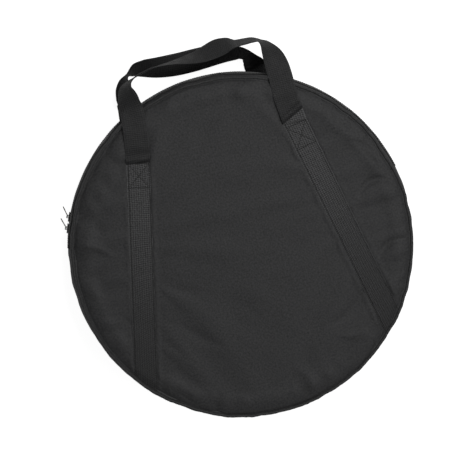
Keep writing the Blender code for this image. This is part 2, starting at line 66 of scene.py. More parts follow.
seam_low, seam_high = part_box("back_panel_shell")
SEAM_RADIUS = (seam_high.x - seam_low.x) / 2
DISC = np.array([(seam_low.x + seam_high.x) / 2, (seam_low.y + seam_high.y) / 2, 0])
FRONT_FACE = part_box("front_panel_shell")[1].z
BACK_FACE = seam_low.z
COVER_THICKNESS = FRONT_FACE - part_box("front_panel_lining")[0].z
JOINTS = {joint["name"]: joint for joint in frame["joints"]}
FRONT_HINGE = Vector(JOINTS["front_handle_swing"]["pos_m"])
BACK_HINGE = Vector(JOINTS["back_handle_swing"]["pos_m"])


def linked(tree, kind, settings, inputs):
    """A node in a tree, with its settings. An input is a plain value or the socket that feeds it."""
    node = tree.nodes.new(kind)
    for setting, value in settings.items():
        setattr(node, setting, value)
    for socket, value in inputs.items():
        if isinstance(value, bpy.types.NodeSocket):
            tree.links.new(value, node.inputs[socket])
        else:
            node.inputs[socket].default_value = value
    return node


class Value:
    """A value in a finish's node tree. Sums on it add Math nodes."""

    def __init__(self, finish, socket):
        self.finish, self.socket = finish, socket

    def maths(self, operation, first, second=0.0):
        return self.finish.node("ShaderNodeMath", {"operation": operation}, {0: first, 1: second})

    def __add__(self, other):
        return self.maths("ADD", self, other)

    def __sub__(self, other):
        return self.maths("SUBTRACT", self, other)

    def __mul__(self, other):
        return self.maths("MULTIPLY", self, other)

    def wave(self, pitch):
        """A sine from 0 to 1 that repeats at this pitch."""
        return self.maths("SINE", self * (2 * math.pi / pitch)) * 0.5 + 0.5

    def over(self, level, run):
        """0 below a level and 1 above it, with a soft step this wide."""
        rise = (self.maths("ABSOLUTE", self) - level) * (1 / run)
        return self.maths("MINIMUM", self.maths("MAXIMUM", rise), 1.0)


MOTTLE_CONTRAST = 2.2
BLEND_INPUTS, BLEND_OUTPUT = (0, 6, 7), 2


class Finish:
    """A material. Its shader's own numbers are given by name, and every node comes from node()."""

    def __init__(self, name, **numbers):
        self.material = bpy.data.materials.new(name)
        self.material.use_nodes = True
        self.tree = self.material.node_tree
        self.shader = self.tree.nodes["Principled BSDF"]
        for socket, number in numbers.items():
            self.shader.inputs[socket.replace("_", " ").title()].default_value = number

    def node(self, kind, settings, inputs, output=0):
        plain = {socket: getattr(value, "socket", value) for socket, value in inputs.items()}
        return Value(self, linked(self.tree, kind, settings, plain).outputs[output])

    def feed(self, socket, value):
        self.tree.links.new(value.socket, self.shader.inputs[socket])

    def cloth_place(self):
        """Where a point lies on the flat cloth, in metres, and its two parts, across and along."""
        place = self.node("ShaderNodeTexCoord", {}, {}, output="UV")
        across = self.node("ShaderNodeSeparateXYZ", {}, {"Vector": place}, output="X")
        along = self.node("ShaderNodeSeparateXYZ", {}, {"Vector": place}, output="Y")
        return place, across, along

    def mottle(self, place, size, detail=3.0):
        """Cloudy variation, about 0 to 1, with patches of about this size."""
        cloud = self.node("ShaderNodeTexNoise", {}, {"Vector": place, "Scale": 1 / size, "Detail": detail})
        return (cloud - 0.5) * MOTTLE_CONTRAST + 0.5

    def blended(self, share, first, second):
        """A colour between two nodes' colours, by a share from 0 to 1."""
        inputs = dict(zip(BLEND_INPUTS, (share, first, second)))
        return self.node("ShaderNodeMix", {"data_type": "RGBA"}, inputs, output=BLEND_OUTPUT)

    def between(self, share, dark, light):
        """A colour between two plain ones, by a share from 0 to 1."""
        return self.blended(share, (*dark, 1), (*light, 1))

    def uneven_roughness(self, share, spread, roughness):
        """Roughness about this value, with this much between a share of 0 and a share of 1."""
        self.feed("Roughness", share * spread + (roughness - spread / 2))

    def bump(self, height, depth):
        """Relief of this depth, in metres, from a height of 0 to 1."""
        self.feed("Normal", self.node("ShaderNodeBump", {}, {"Height": height, "Distance": depth}))


def woven(name, dark, light, thread, depth, **numbers):
    """A plain weave with threads of this pitch, and patches where the cloth has worn or been pressed."""
    finish = Finish(name, **numbers)
    place, across, along = finish.cloth_place()
    weave = across.wave(thread) * along.wave(thread)
    patches = finish.mottle(place, PATCH_SIZE)
    specks = finish.mottle(place, SPECK_SIZE, detail=1.0)
    shade = patches * (1 - SPECKS_share) + specks * SPECKS_share
    finish.feed("Base Color", finish.between(shade, dark, light))
    finish.uneven_roughness(patches, WOVEN_UNEVEN, numbers["roughness"])
    finish.bump((weave + specks) * 0.5, depth)
    return finish.material


SPECKS_share = 0.8
WOVEN_UNEVEN = 0.08
PATCH_SIZE = 0.040
SPECK_SIZE = 0.0030
NYLON_THREAD = 0.0010
LINING_THREAD = 0.0008
nylon = woven("coated_nylon", (0.018, 0.018, 0.019), (0.050, 0.050, 0.051), NYLON_THREAD, 0.0003,
              roughness=0.60, sheen_weight=0.0)
lining = woven("lining", (0.030, 0.030, 0.032), (0.046, 0.046, 0.048), LINING_THREAD, 0.0001,
               roughness=0.72, sheen_weight=0.1)


def eased(share):
    """A soft step from 0 to 1."""
    share = np.clip(share, 0, 1)
    return share * share * (3 - 2 * share)


def unit(directions):
    """Directions made one long."""
    return directions / np.linalg.norm(directions, axis=-1, keepdims=True)


def on_cloth(across, along):
    """Places on the flat cloth."""
    return np.stack(np.broadcast_arrays(across, along), axis=-1)


def linked_object(name, data):
    """An object of this mesh, lamp or camera, in the scene."""
    obj = bpy.data.objects.new(name, data)
    bpy.context.scene.collection.objects.link(obj)
    return obj


def waves(x, y, kind, seed):
    """Smooth random height at every point of a grid. Its kind is how wide the waves are and how high."""
    width, height = kind
    flat = zip(np.ravel(x) / width + seed, np.ravel(y) / width)
    return np.reshape([noise.noise(Vector((a, b, 0))) for a, b in flat], np.shape(x)) * height


def quads_of(index):
    """The faces between the rows and columns of a grid of point numbers."""
    corners = (index[:-1, :-1], index[:-1, 1:], index[1:, 1:], index[1:, :-1])
    return np.stack([corner.ravel() for corner in corners], axis=1)


def slab(name, outer, inner, cloth, finishes, ring=False):
    """A thick sheet, from grids of points over its outer and inner faces, closed round its edges. Cloth
    gives each point's place on the flat cloth. A ring's last row joins its first."""
    rows, columns = outer.shape[:2]
    count = rows * columns
    index = np.arange(count).reshape(rows, columns)
    if ring:
        index = np.vstack([index, index[:1]])
    quads = quads_of(index)
    edges = [index[:, 0], index[::-1, -1]]
    if not ring:
        edges = [np.concatenate([index[:, 0], index[-1, 1:], index[-2::-1, -1], index[0, -2::-1]])]
    walls = [np.stack([edge[:-1], edge[1:], edge[1:] + count, edge[:-1] + count], axis=1) for edge in edges]
    faces = np.vstack([quads, quads[:, ::-1] + count, *walls]).tolist()
    points = np.vstack([outer.reshape(-1, 3), inner.reshape(-1, 3)])
    shown = np.zeros(len(faces), np.int32)
    shown[len(quads):2 * len(quads)] = len(finishes) - 1
    return piece(name, points, faces, np.vstack([cloth.reshape(-1, 2)] * 2), finishes, shown)


def piece(name, points, faces, cloth, finishes, shown=None):
    """An object of the bag from its points and its list of faces, with its finishes and cloth's places."""
    mesh = bpy.data.meshes.new(name)
    mesh.from_pydata(points.tolist(), [], faces)
    for finish in finishes:
        mesh.materials.append(finish)
    if shown is not None:
        mesh.polygons.foreach_set("material_index", shown)
    corner_points = np.zeros(len(mesh.loops), np.int32)
    mesh.loops.foreach_get("vertex_index", corner_points)
    layer = mesh.uv_layers.new(name="UVMap")
    layer.data.foreach_set("uv", cloth[corner_points].astype(np.float32).ravel())
    form = bmesh.new()
    form.from_mesh(mesh)
    bmesh.ops.recalc_face_normals(form, faces=form.faces)
    form.to_mesh(mesh)
    form.free()
    mesh.shade_smooth()
    return linked_object(name, mesh)


def crease(x, y, route, height, width):
    """A fold in the cloth along a curve through three places. It fades out towards both ends."""
    start, middle, end = route
    turning = 2 * middle - (start + end) / 2
    nearest, depth = np.full(x.shape, np.inf), np.zeros(x.shape)
    for share in np.linspace(0, 1, CREASE_STEPS):
        spot = start * (1 - share) ** 2 + turning * 2 * share * (1 - share) + end * share ** 2
        away = np.hypot(x - spot[0], y - spot[1])
        fade = math.sin(math.pi * share) ** CREASE_FADE
        here = height * fade * np.exp(-((away / (width * (CREASE_TIP_share + fade))) ** 2))
        depth = np.where(away < nearest, here, depth)
        nearest = np.minimum(nearest, away)
    return depth


CREASE_STEPS = 40
CREASE_FADE = 0.8
CREASE_TIP_share = 0.5


def points_of(node):
    """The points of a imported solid."""
    return np.array([vertex.co for vertex in frame["nodes"][node].data.vertices])


def strap_axis(upper):
    """A strap's middle at its top edge, and how far it leans for each metre down the face."""
    points = points_of(upper)
    top, low = points[:, 1].max(), points[:, 1].min()
    ends = [points[np.abs(points[:, 1] - level) < NEAR][:, 0].mean() for level in (top, low)]
    return ends[0], top, (ends[1] - ends[0]) / (top - low)


NEAR = 0.0001
STRAPS = {side: strap_axis(f"flap_{side}_strap") for side in ("left", "right")}
WEBBING_WIDTH = 0.038
WEBBING_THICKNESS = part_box("flap_left_strap")[1].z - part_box("flap_left_strap")[0].z

# Folds that handling has left, each a route from the disc's middle, a height and a width, in millimetres
FRONT_FOLDS = (
    (((196, 30), (226, 54), (262, 36)), -3.9, 4),
    (((205, 18), (232, 36), (256, 16)), 2.08, 11),
    (((202, -78), (230, -48), (266, -58)), -3.64, 4.2),
    (((212, -92), (236, -68), (262, -76)), 2.08, 10),
    (((208, 124), (230, 102), (244, 68)), -3.12, 4.6),
    (((160, 170), (196, 158), (226, 118)), -2.34, 7),
    (((-264, 64), (-234, 64), (-200, 34)), 3.12, 4.2),
    (((-252, 110), (-226, 100), (-208, 70)), -2.6, 8),
    (((-262, 30), (-240, 14), (-236, -20)), -2.34, 9),
    (((178, -98), (150, -136), (98, -154)), -2.86, 6),
    (((-130, -90), (-98, -122), (-66, -146)), -2.08, 6),
    (((16, 206), (-18, 188), (-38, 160)), -1.56, 7),
    (((-140, -22), (-108, -44), (-80, -46)), -1.56, 6),
    (((110, -168), (148, -180), (176, -158)), 2.6, 4.6),
    (((-160, 174), (-182, 146), (-204, 126)), 1.82, 6),
    (((-215, -60), (-196, -75), (-172, -74)), -1.82, 7),
    (((30, -205), (52, -226), (54, -256)), 2.34, 7),
    (((-90, -215), (-104, -236), (-98, -256)), -2.34, 6),
)
MILLIMETRE = 0.001
COVER_STEPS = 100
SEAM_LAP = 0.0016
COVER_RADIUS = SEAM_RADIUS + SEAM_LAP
DOME = 0.0024
SEAM_ROLL = 0.017
SEAM_DROP = 0.0058
RIM_PUFF = 0.0024
PUFF_PLACE, PUFF_WIDTH = 0.024, 0.011
SEAM_HOLD = 0.004
HOLD_RUN = 0.0035
STRAP_DIP = 0.0011
STRAP_EDGE = 0.022
STRAP_HOLD = 0.019
STRAP_DIP_RUN = 0.005
FOLD_SLACK = 0.0012
SLACK_WAVES = (0.050, 0.0024)
SLACK_LEAST = -0.0008
SETTLED_share = 0.80
ROLL_WAVES = (0.11, 0.45)
PUFF_WAVES = (0.09, 1.2)
HANDLED_WAVES = (0.026, 0.0003)
CRINKLE_WAVES = (0.010, 0.00012)
LINING_WAVES = (0.06, 0.0006)
WANDER_WAVES = ((0.020, 0.0014), (0.060, 0.0014))
WANDER_POWER = 8
REST = 0.0004


def cover_grid():
    """A square grid of points mapped onto the disc, so that its sides lie along the rim."""
    share = np.linspace(-1, 1, COVER_STEPS + 1)
    across, up = np.meshgrid(share, share)
    x = across * np.sqrt(1 - up * up / 2) * COVER_RADIUS
    y = up * np.sqrt(1 - across * across / 2) * COVER_RADIUS
    return x, y


def under_straps(x, y, edge, run):
    """1 where a strap is sewn over the cover, with a soft step outside its edges."""
    held = np.zeros(x.shape)
    for top_x, top_y, lean in STRAPS.values():
        off = np.abs(x - top_x - (top_y - DISC[1] - y) * lean) / math.hypot(1, lean)
        held = np.maximum(held, eased((edge - off) / run) * (y < top_y - DISC[1]))
    return held


def finer(grid):
    """Doubles a grid's rows and columns, along smooth curves through its points."""
    for _ in range(2):
        longer = np.concatenate([2 * grid[:1] - grid[1:2], grid, 2 * grid[-1:] - grid[-2:-1]])
        doubled = np.empty((2 * len(grid) - 1, *grid.shape[1:]))
        doubled[::2] = grid
        doubled[1::2] = (longer[1:-2] + longer[2:-1]) * 9 / 16 - (longer[:-3] + longer[3:]) / 16
        grid = doubled.swapaxes(0, 1)
    return grid


CLOTH = {"quality": 6, "mass": 0.002, "tension_stiffness": 30, "compression_stiffness": 30,
         "shear_stiffness": 10, "bending_stiffness": 20, "shrink_min": -0.004}
CLOTH_WEIGHT = 0.2
CLOTH_FRAMES = 25
CLOTH_DISTANCE = 0.0008
FOAM_LEVEL = -0.001


def settled(points, held):
    """Lets a slack sheet of cloth settle on the foam under it. It is held fast where held is 1."""
    faces = quads_of(np.arange(held.size).reshape(held.shape)).tolist()
    cloth = piece("slack_cloth", points.reshape(-1, 3), faces, points.reshape(-1, 3)[:, :2], ())
    sewn = cloth.vertex_groups.new(name="sewn")
    for point, weight in enumerate(held.ravel()):
        if weight > 0:
            sewn.add([point], float(weight), "REPLACE")
    modifier = cloth.modifiers.new("cloth", "CLOTH")
    for setting, value in CLOTH.items():
        setattr(modifier.settings, setting, value)
    modifier.settings.vertex_group_mass = "sewn"
    modifier.settings.effector_weights.gravity = CLOTH_WEIGHT
    modifier.collision_settings.distance_min = CLOTH_DISTANCE
    corners = np.array([(-1, -1, FOAM_LEVEL), (1, -1, FOAM_LEVEL), (1, 1, FOAM_LEVEL), (-1, 1, FOAM_LEVEL)])
    foam = piece("foam_top", corners, [(0, 1, 2, 3)], corners[:, :2], ())
    foam.modifiers.new("collision", "COLLISION")
    foam.collision.thickness_outer = CLOTH_DISTANCE
    for step in range(1, CLOTH_FRAMES + 1):
        bpy.context.scene.frame_set(step)
    evaluated = cloth.evaluated_get(bpy.context.evaluated_depsgraph_get())
    places = np.zeros(held.size * 3, np.float32)
    evaluated.data.vertices.foreach_get("co", places)
    for obj in (cloth, foam):
        bpy.data.objects.remove(obj)
    bpy.context.scene.frame_set(1)
    return places.reshape(*held.shape, 3)


def seam_wander(angle):
    """How far the rim seams stray from a true circle where their thread has drawn them in."""
    x, y = np.cos(angle) * SEAM_RADIUS, np.sin(angle) * SEAM_RADIUS
    return waves(x, y, WANDER_WAVES[0], 5) + waves(x, y, WANDER_WAVES[1], 9)


def cover(name, face, inwards, folds, seed, dome):
    """A padded cover: its outer cloth settles in folds, and its lining is nearly flat. A cover that faces
    the ground is pressed flat by it."""
    x, y = cover_grid()
    at_seam = np.clip((np.hypot(x, y) - COVER_RADIUS + SEAM_HOLD) / HOLD_RUN, 0, 1)
    held = np.maximum(under_straps(x, y, STRAP_HOLD, HOLD_RUN), at_seam)
    rise = FOLD_SLACK + np.maximum(waves(x, y, SLACK_WAVES, seed), SLACK_LEAST)
    points = np.stack([x, y, rise * (1 - held)], axis=2)
    points = settled(points, held)
    points = finer(points)
    x, y, rise = points[:, :, 0], points[:, :, 1], points[:, :, 2] * SETTLED_share
    radius = np.hypot(x, y)
    drawn = 1 + seam_wander(np.arctan2(y, x)) / COVER_RADIUS * (radius / COVER_RADIUS) ** WANDER_POWER
    x, y = x * drawn, y * drawn
    angle = np.arctan2(y, x)
    roll = SEAM_ROLL * (1 + waves(np.cos(angle), np.sin(angle), ROLL_WAVES, seed + 3))
    pinch = np.clip((radius - COVER_RADIUS + roll) / roll, 0, 1) ** 2
    for route, height, width in folds:
        rise = rise + crease(x, y, np.array(route) * MILLIMETRE, height * MILLIMETRE, width * MILLIMETRE)
    rise = rise + dome * (1 - (radius / COVER_RADIUS) ** 2) - SEAM_DROP * pinch
    under = under_straps(x, y, STRAP_EDGE, STRAP_DIP_RUN)
    puff = np.exp(-(((COVER_RADIUS - radius - PUFF_PLACE) / PUFF_WIDTH) ** 2))
    puff *= 1 + waves(np.cos(angle), np.sin(angle), PUFF_WAVES, seed + 13)
    rise += RIM_PUFF * puff * (1 - under) - STRAP_DIP * under
    rise += waves(x, y, HANDLED_WAVES, seed + 7) + waves(x, y, CRINKLE_WAVES, seed + 17)
    if inwards > 0:
        rise = np.minimum(rise, face - REST)
    depth = COVER_THICKNESS + waves(x, y, LINING_WAVES, seed + 11) * (1 - pinch)
    outer = np.stack([x, y, face - inwards * rise], axis=2) + DISC
    inner = np.stack([x, y, face + inwards * depth], axis=2) + DISC
    return slab(name, outer, inner, on_cloth(x, y), (nylon, lining))


front_cover = cover("front_cover", FRONT_FACE, -1, FRONT_FOLDS, 1, DOME)


def crosses_fold(obj):
    """Bakes a piece's placement into its points."""
    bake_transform(obj)


crosses_fold(front_cover)
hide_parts("front_panel_shell", "front_panel_foam", "front_panel_lining",
            "flap_shell", "flap_foam", "flap_lining")


# The back cover. Made like the front one, in one piece that doesn't open. The bag lies on it, so it is flat.

BACK_FOLDS = (
    (((-190, 60), (-215, 40), (-250, 50)), 3.9, 5.5),
    (((160, -120), (195, -110), (225, -135)), 3.64, 6),
    (((20, -180), (55, -200), (60, -240)), 3.38, 6.5),
    (((-40, 150), (0, 165), (45, 150)), 2.6, 8),
)
back_cover = cover("back_cover", BACK_FACE, 1, BACK_FOLDS, 21, dome=-0.0014)
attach(back_cover, "bag")
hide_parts("back_panel_shell", "back_panel_foam", "back_panel_lining")


# The rim. A lower gusset round the closed part, and above it two strips with the zip between them. Each is
# nylon over foam with a lining, hemmed along the zip, and swells between the seams.

GUSSET_BULGE = (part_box("lower_gusset_shell")[1].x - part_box("lower_gusset_shell")[0].x) / 2 - SEAM_RADIUS
BODY_DEPTH = FRONT_FACE - BACK_FACE
MIDDLE = (FRONT_FACE + BACK_FACE) / 2
ZIP_OPENING = 2 * (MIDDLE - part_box("rear_zip_strip_shell")[1].z)
HEM_LOW, HEM_HIGH = MIDDLE - ZIP_OPENING / 2, MIDDLE + ZIP_OPENING / 2
RIM_MARGIN = 0.0022
RIM_LOW, RIM_HIGH = BACK_FACE + RIM_MARGIN, FRONT_FACE - RIM_MARGIN
HEM_THICKNESS = 0.0009
HEM_FLAT = 0.0068
HEM_RUN = 0.009
RIM_STEP = 0.0030
RIM_ROWS = 20
SEAM_TUCK, TUCK_REACH = 0.0003, 0.004
SEAM_PINCH_share, PINCH_REACH = 0.5, 0.005
SLACK_RUN = 0.012
RIM_WAVES = (0.034, 0.0020)
RIM_CREASES, CREASE_LEVELS_share = (0.011, 0.0006), 0.4
GATHERS, GATHER_REACH = (0.012, 0.0010), 0.008
WANDER_REACH = 0.020


def sweep(node):
    """The lowest and highest angle of a node about the disc's middle, the lowest from -90 to 270 degrees."""
    points = points_of(node) - DISC
    angles = np.degrees(np.arctan2(points[:, 1], points[:, 0]))
    angles = np.where(angles < -90, angles + 360, angles)
    return math.radians(angles.min()), math.radians(angles.max())


ZIP_START, ZIP_END = sweep("rear_zip_strip_shell")


def gusset_radius(level):
    """The radius of the rim, which bulges between its two seams."""
    share = (level - BACK_FACE) / BODY_DEPTH
    return SEAM_RADIUS + 4 * GUSSET_BULGE * share * (1 - share)


def on_rim(radius, angle, level):
    """Points at these radii, angles and levels about the disc's middle."""
    radius, angle, level = np.broadcast_arrays(radius, angle, level)
    return np.stack([radius * np.cos(angle), radius * np.sin(angle), level], axis=-1) + DISC


def rim_skin(angle, level, ends, hems, seed):
    """The radius of the rim's cloth at these places, and their distances from its seams and its hems. Ends
    are its lowest and highest level, and hems says which of them meet the zip."""
    angle, level = np.broadcast_arrays(angle, level)
    low, high = ends
    from_seam = np.minimum(np.where(hems[0], np.inf, level - low), np.where(hems[1], np.inf, high - level))
    from_hem = np.minimum(np.where(hems[0], level - low, np.inf), np.where(hems[1], high - level, np.inf))
    along = angle * SEAM_RADIUS
    slack = eased(np.minimum(from_seam, from_hem) / SLACK_RUN)
    ripple = waves(along, level, RIM_WAVES, seed)
    ripple += waves(along, level * CREASE_LEVELS_share, RIM_CREASES, seed + 5)
    gathers = waves(along, level * 0, GATHERS, seed + 9) * np.exp(-from_seam / GATHER_REACH)
    radius = gusset_radius(level) + ripple * slack + gathers - SEAM_TUCK * np.exp(-from_seam / TUCK_REACH)
    radius = radius + seam_wander(angle) * np.exp(-from_seam / WANDER_REACH)
    return radius, from_seam, from_hem


def rim_piece(name, first, last, ends, hems, seed):
    """A padded stretch of the rim between two angles."""
    count = round((last - first) * SEAM_RADIUS / RIM_STEP)
    angle = np.linspace(first, last, count + 1)[:, None]
    share = (1 - np.cos(np.linspace(0, math.pi, RIM_ROWS + 1))) / 2
    level = (ends[0] + (ends[1] - ends[0]) * share)[None, :]
    angle, level = np.broadcast_arrays(angle, level)
    outer, from_seam, from_hem = rim_skin(angle, level, ends, hems, seed)
    fill = eased((from_hem - HEM_FLAT) / HEM_RUN)
    pinch = 1 - SEAM_PINCH_share * np.exp(-from_seam / PINCH_REACH)
    thickness = (HEM_THICKNESS + (COVER_THICKNESS - HEM_THICKNESS) * fill) * pinch
    cloth = on_cloth(angle * SEAM_RADIUS, level)
    rim = slab(name, on_rim(outer, angle, level), on_rim(outer - thickness, angle, level), cloth,
               (nylon, lining))
    return rim


# The two zip strips, each its lowest and highest level, which of them is a hem, and its seed
REAR_STRIP = ((RIM_LOW, HEM_LOW), (False, True), 47)
FRONT_STRIP = ((HEM_HIGH, RIM_HIGH), (True, False), 59)
lower_gusset = rim_piece("lower_gusset", ZIP_END, ZIP_START + 2 * math.pi, (RIM_LOW, RIM_HIGH),
                         (False, False), 31)
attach(lower_gusset, "bag")
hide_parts("lower_gusset_shell", "lower_gusset_foam", "lower_gusset_lining")
rear_strip = rim_piece("rear_zip_strip", ZIP_START, ZIP_END, *REAR_STRIP)
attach(rear_strip, "bag")
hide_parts("rear_zip_strip_shell", "rear_zip_strip_foam", "rear_zip_strip_lining")
front_strip = rim_piece("front_zip_strip", ZIP_START, ZIP_END, *FRONT_STRIP)
crosses_fold(front_strip)
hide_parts("flap_zip_strip_shell", "flap_zip_strip_foam", "flap_zip_strip_lining",
            "left_strip_end_shell", "left_strip_end_foam", "left_strip_end_lining",
            "right_strip_end_shell", "right_strip_end_foam", "right_strip_end_lining")


# The zip's tapes. Two ribbed polyester tapes, grey where they have rubbed, each lapped over the hem of its
# strip and stitched down there in two rows.

TAPE_GAP = 0.0012
TAPE_REACH = 0.0215
TAPE_LAP = 0.0006
TAPE_THICKNESS = 0.0007
TAPE_RIB = 0.0026
TAPE_RIB_HEIGHT = 0.0003
TAPE_STEP = TAPE_RIB / 4
TAPE_COLUMNS = 12
COIL_SIDE = 0.0034
FACE_EVERY = 6
RIB_CONTRAST = 1.8
THREADS_share, RIBS_share, PATCHES_share, RUBS_share, EDGE_HIGHLIGHT_share = 0.25, 0.25, 0.15, 0.35, 0.5
THREADS_SEEN = 3
RUB_SIZE, RUB_SPECK, EDGE_HIGHLIGHT_RUN = 0.012, 0.0022, 0.0012
RIBBED_UNEVEN = 0.2
RIBBED_DEPTH = 0.00025


def ribbed(name, dark, light, pitch, edge, thread, pale_colour=None, **numbers):
    """Woven tape with ribs across it. Its edges, this far from its middle, are lighter with a painted
    highlight. Where its points' own paleness value is 1, its light colour is the pale one."""
    finish = Finish(name, **numbers)
    place, across, along = finish.cloth_place()
    threads = across.wave(thread)
    patches = finish.mottle(place, RUB_SIZE)
    specks = finish.mottle(place, RUB_SPECK, detail=1.0)
    shade = across.wave(thread * THREADS_SEEN) * THREADS_share + along.wave(pitch) * RIBS_share
    # The last term makes both edges lighter past the given distance from the middle: a painted highlight.
    shade = shade + patches * PATCHES_share + specks * RUBS_share + across.over(edge, EDGE_HIGHLIGHT_RUN) * EDGE_HIGHLIGHT_share
    shade = (shade - 0.5) * RIB_CONTRAST + 0.5
    colour = finish.between(shade, dark, light)
    # Where a point's paleness value is 1 the colour is the pale one; its fall down the straps is painted
    # shade.
    if pale_colour:
        paleness = finish.node("ShaderNodeAttribute", {"attribute_name": "paleness"}, {}, output="Fac")
        colour = finish.blended(paleness, colour, finish.between(shade, dark, pale_colour))
    finish.feed("Base Color", colour)
    finish.uneven_roughness(patches, RIBBED_UNEVEN, numbers["roughness"])
    finish.bump((threads + specks) * 0.5, RIBBED_DEPTH)
    return finish.material


tape_cloth = ribbed("zip_tape", (0.026, 0.026, 0.026), (0.105, 0.104, 0.102), TAPE_RIB, TAPE_REACH, 0.0013,
                    roughness=0.62, sheen_weight=0.2)


def ring_reach(node):
    """The lowest and highest radius of a node's points."""
    points = points_of(node) - DISC
    radii = np.hypot(points[:, 0], points[:, 1])
    return radii.min(), radii.max()


TAPE_FACE = ring_reach("rear_zip_tape")[1]


def tape_face(angle, level, ends, hems, seed):
    """The radius of the tape's outer face: level with the coil's base beside it, and on the strip beyond."""
    skin = rim_skin(angle, np.clip(level, *ends), ends, hems, seed)[0] + TAPE_LAP + TAPE_THICKNESS
    lapped = eased((np.abs(level - MIDDLE) - COIL_SIDE) / (ZIP_OPENING / 2 - COIL_SIDE))
    return TAPE_FACE + (skin - TAPE_FACE) * lapped


def zip_tape(name, side, strip):
    """One half's tape, from beside the coil to past the strip's hem."""
    count = round((ZIP_END - ZIP_START) * TAPE_FACE / TAPE_STEP)
    angle = np.linspace(ZIP_START, ZIP_END, count + 1)[:, None]
    level = (MIDDLE + side * np.linspace(TAPE_GAP, TAPE_REACH, TAPE_COLUMNS + 1))[None, :]
    angle, level = np.broadcast_arrays(angle, level)
    along = angle * TAPE_FACE
    coarse = np.linspace(0, count, count // FACE_EVERY + 1).round().astype(int)
    faces = tape_face(angle[coarse], level[coarse], *strip)
    face = np.stack([np.interp(np.arange(count + 1), coarse, column) for column in faces.T], axis=1)
    face = face + TAPE_RIB_HEIGHT / 2 * np.sin(along * 2 * math.pi / TAPE_RIB)
    cloth = on_cloth(level - MIDDLE, along)
    tape = slab(name, on_rim(face, angle, level), on_rim(face - TAPE_THICKNESS, angle, level), cloth,
                (tape_cloth,))
    return tape


rear_tape = zip_tape("rear_zip_tape_cloth", -1, REAR_STRIP)
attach(rear_tape, "bag")
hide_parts("rear_zip_tape")
front_tape = zip_tape("front_zip_tape_cloth", 1, FRONT_STRIP)
crosses_fold(front_tape)
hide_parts("flap_zip_tape", "left_zip_end_tape", "right_zip_end_tape")


# The zip's coils. Each is one nylon line wound in loops and sewn along the edge of its tape, and the loops
# of the two halves lie between each other.


def small_tube(name, path, flat_axis, radius, finish, sides=6):
    """A short tube along a flat path, closed at both ends. The flat axis is square to the path's plane."""
    path = np.array(path)
    along = unit(np.gradient(path, axis=0))
    flat_axis = np.array(flat_axis, float)
    upright = np.cross(along, flat_axis)
    turn = np.linspace(0, 2 * math.pi, sides, endpoint=False)
    rings = path[:, None, :] + radius * (
        flat_axis * np.cos(turn)[:, None] + upright[:, None, :] * np.sin(turn)[:, None])
    index = np.arange(len(path) * sides).reshape(len(path), sides)
    beside = np.roll(index, -1, axis=1)
    quads = np.stack([index[:-1], beside[:-1], beside[1:], index[1:]], axis=2).reshape(-1, 4).tolist()
    first_cap, last_cap = len(path) * sides, len(path) * sides + 1
    caps = [(*pair, first_cap) for pair in zip(index[0].tolist(), beside[0].tolist())]
    caps += [(*pair, last_cap) for pair in zip(index[-1].tolist(), beside[-1].tolist())]
    points = np.vstack([rings.reshape(-1, 3), path[:1], path[-1:]])
    steps = np.concatenate([[0], np.cumsum(np.linalg.norm(np.diff(path, axis=0), axis=1))])
    places = np.vstack([on_cloth(turn * radius, steps[:, None]).reshape(-1, 2), (0, 0), (0, steps[-1])])
    return piece(name, points, [*quads, *caps], places, (finish,))


def row_tree():
    """Nodes that set a shape at even spacing along runs of edges, its Z along each point's own out
    direction and its X along the run."""
    tree = bpy.data.node_groups.new("row_of_shapes", "GeometryNodeTree")
    for label, kind in (("Runs", "Geometry"), ("Shape", "Object"), ("Spacing", "Float"),
                        ("Unevenness", "Float"), ("Seed", "Int"), ("Finish", "Material")):
        tree.interface.new_socket(label, in_out="INPUT", socket_type=f"NodeSocket{kind}")
    tree.interface.new_socket("Row", in_out="OUTPUT", socket_type="NodeSocketGeometry")

    def node(kind, settings, inputs):
        return [output for output in linked(tree, kind, settings, inputs).outputs if output.enabled]

    given = {socket.name: socket for socket in node("NodeGroupInput", {}, {})}
    curve = node("GeometryNodeMeshToCurve", {}, {"Mesh": given["Runs"]})[0]
    spaced = node("GeometryNodeResampleCurve", {"mode": "LENGTH"},
                  {"Curve": curve, "Length": given["Spacing"]})[0]
    out = node("GeometryNodeInputNamedAttribute", {"data_type": "FLOAT_VECTOR"}, {"Name": "out"})[0]
    along = node("GeometryNodeInputTangent", {}, {})[0]
    upright = node("FunctionNodeAlignRotationToVector", {"axis": "Z"}, {"Vector": out})[0]
    turned = node("FunctionNodeAlignRotationToVector", {"axis": "X", "pivot_axis": "Z"},
                  {"Rotation": upright, "Vector": along})[0]
    least = node("ShaderNodeMath", {"operation": "SUBTRACT"}, {0: 1.0, 1: given["Unevenness"]})[0]
    most = node("ShaderNodeMath", {"operation": "ADD"}, {0: 1.0, 1: given["Unevenness"]})[0]
    size = node("FunctionNodeRandomValue", {"data_type": "FLOAT"},
                {2: least, 3: most, "Seed": given["Seed"]})[0]
    shape = node("GeometryNodeObjectInfo", {}, {"Object": given["Shape"]})
    shape = next(output for output in shape if output.name == "Geometry")
    placed = node("GeometryNodeInstanceOnPoints", {},
                  {"Points": spaced, "Instance": shape, "Rotation": turned, "Scale": size})[0]
    real = node("GeometryNodeRealizeInstances", {}, {"Geometry": placed})[0]
    finished = node("GeometryNodeSetMaterial", {}, {"Geometry": real, "Material": given["Finish"]})[0]
    node("NodeGroupOutput", {}, {"Row": finished})
    return tree


ROW = row_tree()
ROW_SOCKETS = {item.name: item.identifier for item in ROW.interface.items_tree}
ROW_SEED = 5


